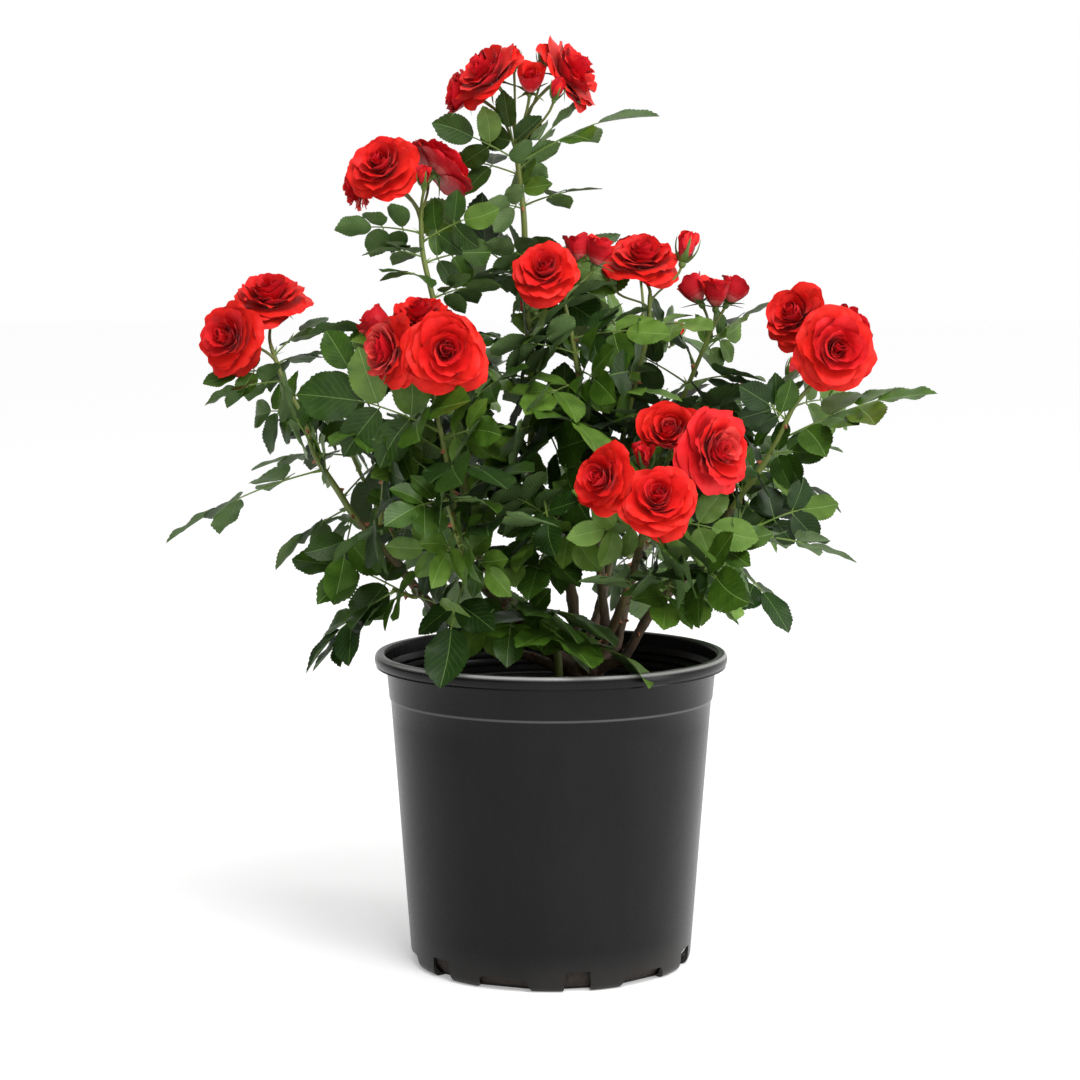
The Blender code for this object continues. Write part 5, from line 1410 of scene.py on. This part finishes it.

# Shoots: "on" is the cane or stub and how far along it the stem starts (1 is its tip), "way" the stem's points.
# Each bloom has its kind, its middle, the bearing and rise that it faces, its width and where its stalk starts.
# Each spray is a leaf set one by one: where it starts, its tip, its leaflets and its roll in degrees.
# "leaves" more come by the rule, between the shares of the stem in "span".
shoots = {
    "leader_shoot": {
        "on": ("leader_cane", 1.0), "seed": 3, "radii": (0.0031, 0.0022),
        "way": [(-0.015, 0.022, 0.455), (-0.020, 0.020, 0.520), (-0.021, 0.015, 0.580), (-0.026, 0.010, 0.625)],
        "blooms": [
            ("open", (-0.050, -0.003, 0.692), 215, 42, 0.056, 1.0),
            ("cup", (-0.070, 0.020, 0.677), 190, 15, 0.034, 0.97),
            ("open", (0.016, 0.008, 0.693), -20, 30, 0.058, 1.0),
            ("half", (-0.016, -0.012, 0.684), -85, 50, 0.025, 1.0),
            ("bud", (-0.029, 0.012, 0.702), 100, 75, 0.013, 0.98),
            ("bud", (-0.006, 0.022, 0.704), 60, 80, 0.013, 0.98),
            ("bud", (0.004, -0.024, 0.676), -60, 60, 0.013, 0.99),
        ],
        "sprays": [
            (0.99, (0.076, -0.010, 0.660), 3, 50),
            (0.97, (0.010, 0.010, 0.636), 3, 0),
            (1.0, (-0.094, -0.014, 0.648), 3, -10),
            (0.95, (-0.094, 0.038, 0.632), 3, 10),
            (0.98, (-0.042, -0.010, 0.672), 3, 0),
            (0.98, (0.022, -0.004, 0.674), 3, 0),
            (0.90, (-0.010, 0.020, 0.626), 3, 0),
            (0.84, (0.042, 0.000, 0.603), 3, 40),
            (0.83, (-0.053, 0.005, 0.594), 3, 0),
            (0.66, (-0.055, -0.015, 0.562), 3, 20),
            (0.70, (-0.012, 0.040, 0.558), 3, 0),
            (0.60, (-0.062, 0.030, 0.530), 5, 0),
        ],
        "leaves": 5, "span": (0.08, 0.60),
    },
    "leader_side_shoot": {
        "on": ("leader_cane", 0.72), "seed": 11, "radii": (0.0022, 0.0016),
        "way": [(-0.012, -0.012, 0.402), (-0.002, -0.040, 0.438)],
        "blooms": [],
        "sprays": [(0.95, (-0.005, -0.085, 0.412), 3, 0)],
        "leaves": 3, "span": (0.25, 0.95),
    },
    "upper_left_shoot": {
        "on": ("left_inner_cane", 1.0), "seed": 5, "radii": (0.0029, 0.0019),
        "way": [(-0.068, -0.052, 0.410), (-0.076, -0.045, 0.460), (-0.090, -0.035, 0.520),
                (-0.098, -0.030, 0.555), (-0.099, -0.028, 0.578)],
        "blooms": [
            ("open", (-0.128, -0.030, 0.620), -112, 32, 0.055, 1.0),
            ("open", (-0.151, 0.012, 0.606), 190, 0, 0.040, 0.97),
            ("open", (-0.082, -0.018, 0.620), 30, 42, 0.054, 1.0),
            ("half", (-0.098, 0.016, 0.626), 110, 60, 0.026, 0.98),
            ("bud", (-0.096, -0.042, 0.610), -80, 60, 0.013, 0.99),
        ],
        "sprays": [
            (0.96, (-0.166, -0.030, 0.571), 5, 10),
            (0.88, (-0.147, -0.050, 0.555), 5, -10),
            (0.93, (-0.040, -0.040, 0.580), 5, 10),
            (0.86, (-0.048, 0.010, 0.560), 5, 0),
            (0.80, (-0.125, -0.085, 0.540), 3, 0),
            (0.74, (-0.035, -0.050, 0.528), 5, 0),
        ],
        "leaves": 4, "span": (0.10, 0.70),
    },
    "centre_left_shoot": {
        "on": ("left_inner_cane", 0.80), "seed": 8, "radii": (0.0026, 0.0018),
        "way": [(-0.074, -0.080, 0.375), (-0.080, -0.098, 0.412), (-0.086, -0.100, 0.440)],
        "blooms": [
            ("open", (-0.077, -0.126, 0.482), -85, 8, 0.060, 1.0),
            ("open", (-0.122, -0.108, 0.482), -145, 5, 0.054, 0.98),
            ("open", (-0.098, -0.078, 0.508), -95, 65, 0.046, 0.99),
            ("half", (-0.128, -0.070, 0.500), 170, 35, 0.028, 0.97),
        ],
        "sprays": [
            (0.85, (-0.183, -0.100, 0.452), 5, 0),
            (0.80, (-0.035, -0.150, 0.430), 5, 0),
        ],
        "leaves": 3, "span": (0.15, 0.85),
    },
    "left_shoot": {
        "on": ("left_cane", 1.0), "seed": 21, "radii": (0.0027, 0.0017),
        "way": [(-0.162, -0.031, 0.370), (-0.181, -0.030, 0.400), (-0.190, -0.025, 0.428),
                (-0.206, -0.014, 0.456), (-0.217, 0.000, 0.482)],
        "blooms": [
            ("open", (-0.248, -0.020, 0.490), -122, 12, 0.053, 0.90),
            ("open", (-0.218, 0.010, 0.522), -90, 64, 0.058, 1.0),
        ],
        "sprays": [
            (0.32, (-0.299, -0.045, 0.334), 5, 10),
            (0.86, (-0.273, -0.020, 0.458), 3, 0),
            (0.80, (-0.266, -0.045, 0.440), 5, 0),
            (0.95, (-0.172, 0.020, 0.505), 3, 0),
            (0.72, (-0.154, -0.045, 0.437), 5, 0),
            (0.06, (-0.161, -0.080, 0.284), 3, 0),
            (0.10, (-0.220, -0.030, 0.312), 3, 0),
            (0.90, (-0.190, 0.065, 0.470), 5, 0),
            (0.60, (-0.240, 0.035, 0.420), 5, 0),
        ],
        "leaves": 2, "span": (0.12, 0.55),
    },
    "left_low_shoot": {
        "on": ("left_cane", 0.62), "seed": 31, "radii": (0.0022, 0.0015),
        "way": [(-0.104, -0.045, 0.292), (-0.120, -0.062, 0.300)],
        "blooms": [],
        "sprays": [
            (0.95, (-0.197, -0.070, 0.236), 5, 0),
            (0.90, (-0.110, -0.120, 0.285), 3, 0),
        ],
        "leaves": 1, "span": (0.5, 0.8),
    },
    "left_front_shoot": {
        "on": ("left_inner_cane", 0.55), "seed": 41, "radii": (0.0024, 0.0016),
        "way": [(-0.062, -0.075, 0.318), (-0.070, -0.105, 0.345), (-0.078, -0.120, 0.375)],
        "blooms": [],
        "sprays": [
            (0.35, (-0.086, -0.151, 0.232), 3, 0),
            (0.75, (-0.085, -0.165, 0.315), 3, 0),
            (0.98, (-0.118, -0.165, 0.365), 5, 0),
            (0.60, (-0.030, -0.140, 0.310), 5, 0),
        ],
        "leaves": 3, "span": (0.3, 1.0),
    },
    "left_middle_shoot": {
        "on": ("left_cane", 0.90), "seed": 47, "radii": (0.0023, 0.0015),
        "way": [(-0.128, -0.050, 0.368), (-0.126, -0.062, 0.400), (-0.130, -0.066, 0.425)],
        "blooms": [],
        "sprays": [
            (1.0, (-0.174, -0.060, 0.494), 5, 0),
        ],
        "leaves": 3, "span": (0.2, 1.0),
    },
    "middle_shoot": {
        "on": ("centre_cane", 1.0), "seed": 51, "radii": (0.0027, 0.0017),
        "way": [(0.027, -0.010, 0.425), (0.021, -0.014, 0.460), (0.015, -0.018, 0.495), (0.010, -0.018, 0.516)],
        "blooms": [
            ("open", (-0.005, -0.042, 0.541), -95, 35, 0.050, 1.0),
            ("half", (0.021, -0.008, 0.556), 100, 80, 0.025, 1.0),
            ("half", (0.037, -0.012, 0.554), -30, 65, 0.026, 0.98),
            ("bud", (-0.016, 0.030, 0.512), 130, 40, 0.014, 0.90),
        ],
        "sprays": [
            (0.80, (0.085, -0.050, 0.492), 5, 0),
            (0.72, (-0.050, -0.060, 0.480), 5, 0),
            (0.62, (0.040, -0.085, 0.450), 5, 0),
            (0.55, (-0.020, -0.090, 0.440), 5, 0),
        ],
        "leaves": 3, "span": (0.05, 0.75),
    },
    "middle_right_shoot": {
        "on": ("centre_cane", 0.78), "seed": 57, "radii": (0.0026, 0.0017),
        "way": [(0.054, 0.012, 0.400), (0.065, 0.015, 0.450), (0.075, 0.014, 0.490), (0.077, 0.011, 0.522)],
        "blooms": [
            ("open", (0.072, 0.020, 0.551), -90, 58, 0.056, 1.0),
            ("bud", (0.105, 0.018, 0.557), 20, 75, 0.019, 0.94),
            ("bud", (0.046, 0.022, 0.534), 150, 60, 0.013, 0.92),
        ],
        "sprays": [
            (0.86, (0.120, -0.020, 0.500), 5, 0),
            (0.80, (0.105, 0.060, 0.505), 5, 0),
            (0.70, (0.035, 0.060, 0.490), 5, 0),
        ],
        "leaves": 3, "span": (0.08, 0.62),
    },
    "back_right_shoot": {
        "on": ("back_right_cane", 1.0), "seed": 61, "radii": (0.0026, 0.0016),
        "way": [(0.098, 0.032, 0.425), (0.111, 0.029, 0.458), (0.122, 0.026, 0.485)],
        "blooms": [
            ("half", (0.113, 0.030, 0.524), 160, 60, 0.026, 1.0),
            ("half", (0.129, 0.018, 0.522), -80, 78, 0.026, 1.0),
            ("half", (0.143, 0.036, 0.524), 15, 62, 0.026, 1.0),
        ],
        "sprays": [
            (0.95, (0.172, 0.010, 0.512), 5, 0),
            (0.90, (0.158, 0.060, 0.500), 5, 0),
            (0.82, (0.100, 0.090, 0.490), 5, 0),
            (0.70, (0.165, -0.020, 0.465), 5, 0),
        ],
        "leaves": 2, "span": (0.05, 0.75),
    },
    "right_shoot": {
        "on": ("right_cane", 1.0), "seed": 71, "radii": (0.0027, 0.0018),
        "way": [(0.160, -0.038, 0.390), (0.174, -0.042, 0.415), (0.184, -0.046, 0.438), (0.199, -0.048, 0.456)],
        "blooms": [
            ("open", (0.186, -0.030, 0.507), -130, 30, 0.053, 0.95),
            ("open", (0.214, -0.062, 0.482), -82, 6, 0.061, 1.0),
            ("open", (0.233, -0.014, 0.495), 15, 22, 0.046, 0.98),
        ],
        "sprays": [
            (0.55, (0.289, -0.062, 0.456), 7, 10),
            (0.45, (0.205, -0.085, 0.400), 5, 0),
            (0.70, (0.140, -0.075, 0.450), 5, 0),
            (0.62, (0.165, 0.030, 0.450), 5, 0),
            (0.80, (0.245, 0.045, 0.430), 5, 0),
        ],
        "leaves": 2, "span": (0.05, 0.45),
    },
    "right_low_shoot": {
        "on": ("right_cane", 0.62), "seed": 81, "radii": (0.0023, 0.0015),
        "way": [(0.124, -0.045, 0.318), (0.142, -0.058, 0.335), (0.156, -0.062, 0.348)],
        "blooms": [],
        "sprays": [
            (1.0, (0.218, -0.045, 0.368), 5, 0),
            (0.85, (0.229, -0.072, 0.322), 5, 0),
            (0.50, (0.182, -0.092, 0.273), 5, 0),
            (0.70, (0.150, -0.120, 0.300), 5, 0),
        ],
        "leaves": 2, "span": (0.1, 0.9),
    },
    "front_shoot": {
        "on": ("front_cane", 1.0), "seed": 91, "radii": (0.0027, 0.0019),
        "way": [(0.072, -0.122, 0.360), (0.078, -0.124, 0.378)],
        "blooms": [
            ("cup", (0.086, -0.122, 0.423), -97, 38, 0.043, 1.0),
            ("open", (0.121, -0.132, 0.411), -50, 8, 0.062, 0.98),
            ("open", (0.036, -0.150, 0.391), -130, 14, 0.049, 0.95),
            ("open", (0.076, -0.168, 0.378), -90, 32, 0.055, 1.0),
            ("bud", (0.067, -0.132, 0.404), -110, 60, 0.017, 0.95),
        ],
        "sprays": [
            (0.55, (0.152, -0.140, 0.345), 5, 0),
            (0.45, (0.010, -0.150, 0.345), 5, 0),
        ],
        "leaves": 2, "span": (0.1, 0.8),
    },
    "front_low_shoot": {
        "on": ("front_cane", 0.55), "seed": 101, "radii": (0.0023, 0.0016),
        "way": [(0.075, -0.082, 0.300), (0.100, -0.100, 0.318), (0.118, -0.108, 0.330)],
        "blooms": [],
        "sprays": [
            (0.90, (0.136, -0.155, 0.293), 5, 0),
            (0.50, (0.085, -0.160, 0.282), 5, 0),
            (1.0, (0.165, -0.120, 0.352), 3, 0),
        ],
        "leaves": 3, "span": (0.1, 0.9),
    },
    "front_middle_shoot": {
        "on": ("leader_cane", 0.36), "seed": 111, "radii": (0.0023, 0.0016),
        "way": [(0.008, -0.030, 0.318), (0.000, -0.065, 0.350), (-0.006, -0.085, 0.372)],
        "blooms": [],
        "sprays": [
            (1.0, (-0.003, -0.135, 0.335), 3, 0),
            (0.80, (-0.042, -0.120, 0.375), 5, 0),
            (0.85, (0.040, -0.125, 0.318), 5, 0),
        ],
        "leaves": 3, "span": (0.35, 1.0),
    },
    "inner_low_shoot": {
        "on": ("left_inner_cane", 0.25), "seed": 121, "radii": (0.0020, 0.0014),
        "way": [(-0.022, -0.045, 0.278), (-0.030, -0.062, 0.290)],
        "blooms": [],
        "sprays": [
            (1.0, (-0.030, -0.115, 0.255), 5, 0),
            (0.85, (-0.075, -0.095, 0.258), 5, 0),
            (0.9, (0.006, -0.100, 0.262), 3, 0),
        ],
        "leaves": 2, "span": (0.3, 0.9),
    },
    "stub_leaf": {
        "on": ("cut_stub", 0.86), "seed": 131, "radii": (0.0013, 0.0011),
        "way": [(0.018, -0.052, 0.257), (0.026, -0.066, 0.258)],
        "blooms": [],
        "sprays": [(1.0, (0.082, -0.134, 0.243), 3, 0)],
        "leaves": 0, "span": (0.5, 0.9),
    },
    "rear_right_shoot": {
        "on": ("rear_right_cane", 1.0), "seed": 141, "radii": (0.0028, 0.0018),
        "way": [(0.068, 0.148, 0.415), (0.076, 0.161, 0.465), (0.078, 0.172, 0.505)],
        "blooms": [
            ("open", (0.074, 0.190, 0.556), 95, 55, 0.048, 1.0),
            ("bud", (0.108, 0.222, 0.486), 65, 45, 0.016, 0.98),
            ("bud", (0.058, 0.210, 0.500), 120, 60, 0.014, 0.97),
        ],
        "sprays": [
            (0.90, (0.150, 0.224, 0.470), 3, 0),
            (0.80, (0.030, 0.259, 0.470), 3, 0),
        ],
        "leaves": 3, "span": (0.05, 0.8),
    },
    "rear_left_shoot": {
        "on": ("rear_left_cane", 1.0), "seed": 151, "radii": (0.0028, 0.0018),
        "way": [(-0.086, 0.135, 0.395), (-0.090, 0.152, 0.425), (-0.094, 0.163, 0.455)],
        "blooms": [
            ("open", (-0.104, 0.190, 0.492), 115, 45, 0.056, 1.0),
            ("open", (-0.080, 0.216, 0.460), 80, 15, 0.046, 0.97),
            ("half", (-0.130, 0.210, 0.470), 150, 50, 0.026, 0.99),
        ],
        "sprays": [
            (0.85, (-0.165, 0.203, 0.440), 3, 0),
            (0.75, (-0.040, 0.259, 0.430), 3, 0),
        ],
        "leaves": 3, "span": (0.05, 0.8),
    },
    "rear_low_right_shoot": {
        "on": ("rear_right_cane", 0.66), "seed": 161, "radii": (0.0024, 0.0016),
        "way": [(0.066, 0.122, 0.305), (0.092, 0.155, 0.330), (0.108, 0.169, 0.360)],
        "blooms": [("open", (0.128, 0.199, 0.392), 50, 25, 0.054, 1.0)],
        "sprays": [
            (0.60, (0.110, 0.259, 0.300), 3, 0),
            (0.80, (0.185, 0.162, 0.330), 5, 0),
        ],
        "leaves": 2, "span": (0.2, 0.9),
    },
    "rear_low_left_shoot": {
        "on": ("rear_left_cane", 0.62), "seed": 171, "radii": (0.0024, 0.0016),
        "way": [(-0.062, 0.103, 0.292), (-0.080, 0.152, 0.315), (-0.092, 0.180, 0.350)],
        "blooms": [("open", (-0.100, 0.221, 0.378), 110, 20, 0.052, 1.0)],
        "sprays": [
            (0.60, (-0.060, 0.266, 0.290), 3, 0),
            (0.80, (-0.165, 0.183, 0.320), 5, 0),
        ],
        "leaves": 2, "span": (0.2, 0.9),
    },
    "left_back_shoot": {
        "on": ("left_cane", 0.72), "seed": 181, "radii": (0.0024, 0.0016),
        "way": [(-0.122, 0.020, 0.330), (-0.148, 0.048, 0.372), (-0.164, 0.062, 0.405)],
        "blooms": [("bud", (-0.178, 0.088, 0.423), 130, 55, 0.016, 1.0)],
        "sprays": [
            (0.90, (-0.245, 0.080, 0.385), 5, 0),
            (0.60, (-0.185, 0.075, 0.310), 3, 0),
        ],
        "leaves": 3, "span": (0.2, 0.95),
    },
    "right_back_shoot": {
        "on": ("back_right_cane", 0.60), "seed": 191, "radii": (0.0025, 0.0016),
        "way": [(0.100, 0.050, 0.345), (0.138, 0.066, 0.385), (0.158, 0.074, 0.420)],
        "blooms": [
            ("bud", (0.196, 0.082, 0.462), 30, 55, 0.016, 1.0),
            ("bud", (0.160, 0.110, 0.440), 100, 50, 0.014, 0.96),
        ],
        "sprays": [
            (0.90, (0.238, 0.070, 0.400), 5, 0),
            (0.60, (0.190, 0.060, 0.320), 3, 0),
        ],
        "leaves": 3, "span": (0.2, 0.9),
    },
}

stub = {
    "way": [(0.004, -0.040, 0.196), (0.006, -0.041, 0.230), (0.004, -0.042, 0.257)],
    "radii": (0.0036, 0.0030),
}

leafletShapes = [leafletShape(random.Random(300 + k)) for k in range(leafForm["kinds"])]
leafShares = [3.5, 4, 4, 2.5, 1.5]
stipule = stipuleShape()
bloomShapes = {
    kind: [bloomShape(kind, random.Random(40 * k + 7), (-4, 0, 6, 14)[k]) for k in range(count)]
    for kind, count in bloomKinds.items()
}
# Blooms that differ from the common orange red, by shoot and place in its list
bloomMoods = {
    ("centre_left_shoot", 1): {"heart": "pink", "inner": "pink"},
    ("front_shoot", 0): {"heart": "pink"},
    ("front_shoot", 1): {"heart": "pink", "bright": "heart"},
    ("left_shoot", 0): {"inner": "heart"},
    ("right_shoot", 1): {"inner": "heart"},
}
stalkRadius = {"open": 0.0014, "cup": 0.0014, "half": 0.0012, "bud": 0.0010}


def stalkLine(start, ahead, foot, face):
    span = (foot - start).length
    first = start + ahead * (growth["stalkLead"] * span)
    last = foot - face * (growth["stalkLead"] * span)
    line = []
    for i in range(9):
        s = i / 8
        a, b, c = start.lerp(first, s), first.lerp(last, s), last.lerp(foot, s)
        line.append(a.lerp(b, s).lerp(b.lerp(c, s), s))
    return line


def setBloom(key, kind, middle, face, width, heap, rng):
    form = bloomForms[kind]
    proto = bloomShapes[kind][rng.randrange(bloomKinds[kind])]
    mood = bloomMoods.get(key, {})
    shape = recoloured(proto, {petalSlots[old]: petalSlots[new] + 100 for old, new in mood.items()})
    shape["slots"] = shape["slots"] % 100
    size = width / form["span"]
    side = Matrix.Rotation(rng.uniform(0, math.tau), 3, face) @ across(face, Vector((0.3, 0.2, 1)))
    foot = middle - face * (width * form["tall"] * 0.5)
    heap.add(placed(shape, (side, face.cross(side), face), foot + face * (form["seat"] * size), size))
    return foot


# Small shifts of a tip; the first leaves it where it is
def nearTips(tip, seed):
    rng = random.Random(seed)
    tips = []
    for k in range(room["shiftTries"]):
        tips.append(tip + Vector([rng.uniform(-1, 1) * reach * min(k, 1) for reach in room["shifts"]]))
    return tips


# The leaves that a shoot bears by the rule: each turns on from the last, and has a few ways that it may take
def ruledLeaves(shoot, line):
    rng = random.Random(shoot["seed"])
    turn = rng.uniform(0, math.tau)
    low, high = shoot["span"]
    count = round(shoot["leaves"] * room["more"] + 0.4)
    for k in range(count):
        share = low + (high - low) * (k + 0.5) / count
        place, ahead = spot(line, share)
        side = across(ahead, Vector((1, 0, 0)))
        ends = []
        for j in range(room["tries"]):
            away = turn + rng.uniform(-1, 1) * math.pi * j / room["tries"]
            away = side * math.cos(away) + ahead.cross(side) * math.sin(away)
            reach = rng.uniform(*room["reach"])
            aim = (away * room["away"] + ahead * rng.uniform(*room["ahead"])).normalized()
            ends.append(place + aim * reach - up * (reach * rng.uniform(*room["sag"])))
        leaflets = rng.choices(list(room["leaflets"]), list(room["leaflets"].values()))[0]
        yield place, ends, leaflets, rng.uniform(*room["roll"]), rng.randrange(10**6)
        turn += turnPerLeaf


def growAll():
    stemLook = stemLooks()
    crown = Crown()
    heaps = {
        "twigs": Heap("stalks_and_twigs", stemLook, "green_stem", list(shoots)),
        "leaves": Heap("leaves", leafLooks(), "foliage", list(shoots), 60),
        "blooms": Heap("blooms", petalLooks(), "blossom", list(shoots), 70),
    }
    stubHeap = Heap("pruned_stub", stemLook, "green_stem", ["cut_stub"])
    lines = {name: caneLine(cane) for name, cane in canes.items()}
    limbRadii = {name: cane["radii"] for name, cane in canes.items()}
    lines["cut_stub"] = smoothWay(stub["way"], 12)
    limbRadii["cut_stub"] = stub["radii"]
    spurs, stems, rngs = [], {}, {}
    for name, shoot in shoots.items():
        start, ahead, spur = shootStart(shoot, lines, limbRadii)
        if spur and shoot["on"][0] != "cut_stub":
            spurs.append((spur, shoot["radii"][0]))
        count = max(10, int(lengthOf([start] + [Vector(p) for p in shoot["way"]]) / growth["stemStep"]))
        stems[name] = ledWay(start, ahead, shoot["way"], count)
        rngs[name] = random.Random(shoot["seed"])
        radii = shoot["radii"]
        heaps["twigs"].add(sweep(stems[name], lambda s: blend(radii, s), 8, stemSlots["green"]))
        addThorns(stems[name], lambda s: blend(radii, s), rngs[name], heaps["twigs"], 0.85)
    for name, line in lines.items():
        if name != "cut_stub":
            radii = limbRadii[name]
            addThorns(line, lambda s: blend(radii, s), random.Random(len(line)), heaps["twigs"])
    for name, shoot in shoots.items():
        for k, (kind, middle, bearing, rise, width, share) in enumerate(shoot["blooms"]):
            face, middle = facing(bearing, rise), Vector(middle)
            foot = setBloom((name, k), kind, middle, face, width, heaps["blooms"], rngs[name])
            crown.noteBloom(middle, width)
            start, ahead = spot(stems[name], share)
            thick = stalkRadius[kind]
            heaps["twigs"].add(sweep(
                stalkLine(start, ahead, foot, face), lambda s: thick * (1.1 - 0.25 * math.sin(math.pi * s)), 7,
                stemSlots["green"],
            ))
    for name, shoot in shoots.items():
        for k, (share, tip, leaflets, roll) in enumerate(shoot["sprays"]):
            foot, _ = spot(stems[name], share)
            setLeaf(foot, nearTips(Vector(tip), k), leaflets, roll, shoot["seed"] * 100 + k, crown, heaps, 99,
                    room["skySet"])
    left = 0
    waiting = [ruledLeaves(shoot, stems[name]) for name, shoot in shoots.items()]
    while waiting:
        for leaves in list(waiting):
            leaf = next(leaves, None)
            if leaf:
                left += not setLeaf(*leaf, crown, heaps, room["most"], room["sky"])
            else:
                waiting.remove(leaves)
    print("leaves left out", left)
    line, radii = lines["cut_stub"], stub["radii"]
    stubHeap.add(sweep(line, lambda s: blend(radii, s) * (1 + 0.06 * math.sin(9 * s)), 14, stemSlots["green"]))
    top, ahead = line[-1], (line[-1] - line[-2]).normalized()
    cutLine = [top - ahead * 0.001, top, top + ahead * 0.0004]
    stubHeap.add(sweep(cutLine, lambda s: radii[1] * (0.97 - 0.05 * s), 14, stemSlots["pith"]))
    stubHeap.make()
    for heap in heaps.values():
        heap.make()
    makeWood(lines, limbRadii, spurs)


# Stage: a pale floor, soft light and the camera
studio = {
    "floorTone": 0.86, "floorGlow": 0.30, "floorRough": 0.9, "floorSize": 60.0,
    "worldStrength": 1.0, "leftShare": 0.12, "leftEdge": (-0.6, -0.22),  # the world is dimmer on the left
    "key": {"place": (0.5, -1.5, 2.6), "size": (1.2, 1.2), "power": 52.0},
    "rightStrip": {"place": (1.5, -0.60, 0.6), "size": (0.45, 1.4), "power": 12.0},
    "aim": Vector((0, 0, 0.36)),
    "cameraPlace": (-0.0086, -2.0219, 0.5358), "cameraDip": 5.773, "lens": 86.76, "sensor": 36,
}


def softBox(name):
    spec = studio[name]
    light = bpy.data.lights.new(name, "AREA")
    light.shape = "RECTANGLE"
    light.size, light.size_y = spec["size"]
    light.energy = spec["power"]
    made = bpy.data.objects.new(name, light)
    made.location = spec["place"]
    made.rotation_euler = (studio["aim"] - Vector(spec["place"])).to_track_quat("-Z", "Y").to_euler()
    bpy.context.scene.collection.objects.link(made)


def makeStage():
    shape = bmesh.new()
    bmesh.ops.create_grid(shape, x_segments=1, y_segments=1, size=studio["floorSize"] / 2)
    look, _, _ = newMaterial(
        "paleFloor", Roughness=studio["floorRough"], Base_Color=(*(studio["floorTone"],) * 3, 1),
        Emission_Color=(1, 1, 1, 1), Emission_Strength=studio["floorGlow"],
    )
    floor = meshPiece("floor", shape, [look])
    world = bpy.data.worlds.new("studio")
    world.use_nodes = True
    tree = world.node_tree
    toward = addNode(tree, "ShaderNodeTexCoord", {}).outputs["Generated"]
    split = addNode(tree, "ShaderNodeSeparateXYZ", {0: toward}).outputs
    dim = ranged(tree, split["X"], *studio["leftEdge"], studio["leftShare"], studio["worldStrength"])
    fill(tree, tree.nodes["Background"], {"Color": (1, 1, 1, 1), "Strength": dim})
    bpy.context.scene.world = world
    bpy.context.scene.view_settings.view_transform = "Standard"
    for name in ("key", "rightStrip"):
        softBox(name)
    camera = bpy.data.cameras.new("front")
    camera.lens = studio["lens"]
    camera.sensor_width = studio["sensor"]
    made = bpy.data.objects.new("front", camera)
    made.location = studio["cameraPlace"]
    made.rotation_euler = (math.radians(90 - studio["cameraDip"]), 0, 0)
    bpy.context.scene.collection.objects.link(made)
    bpy.context.scene.camera = made
    print("stage", len(bpy.data.lights), "lights")


makePot()
makeSoil()
growAll()
makeStage()
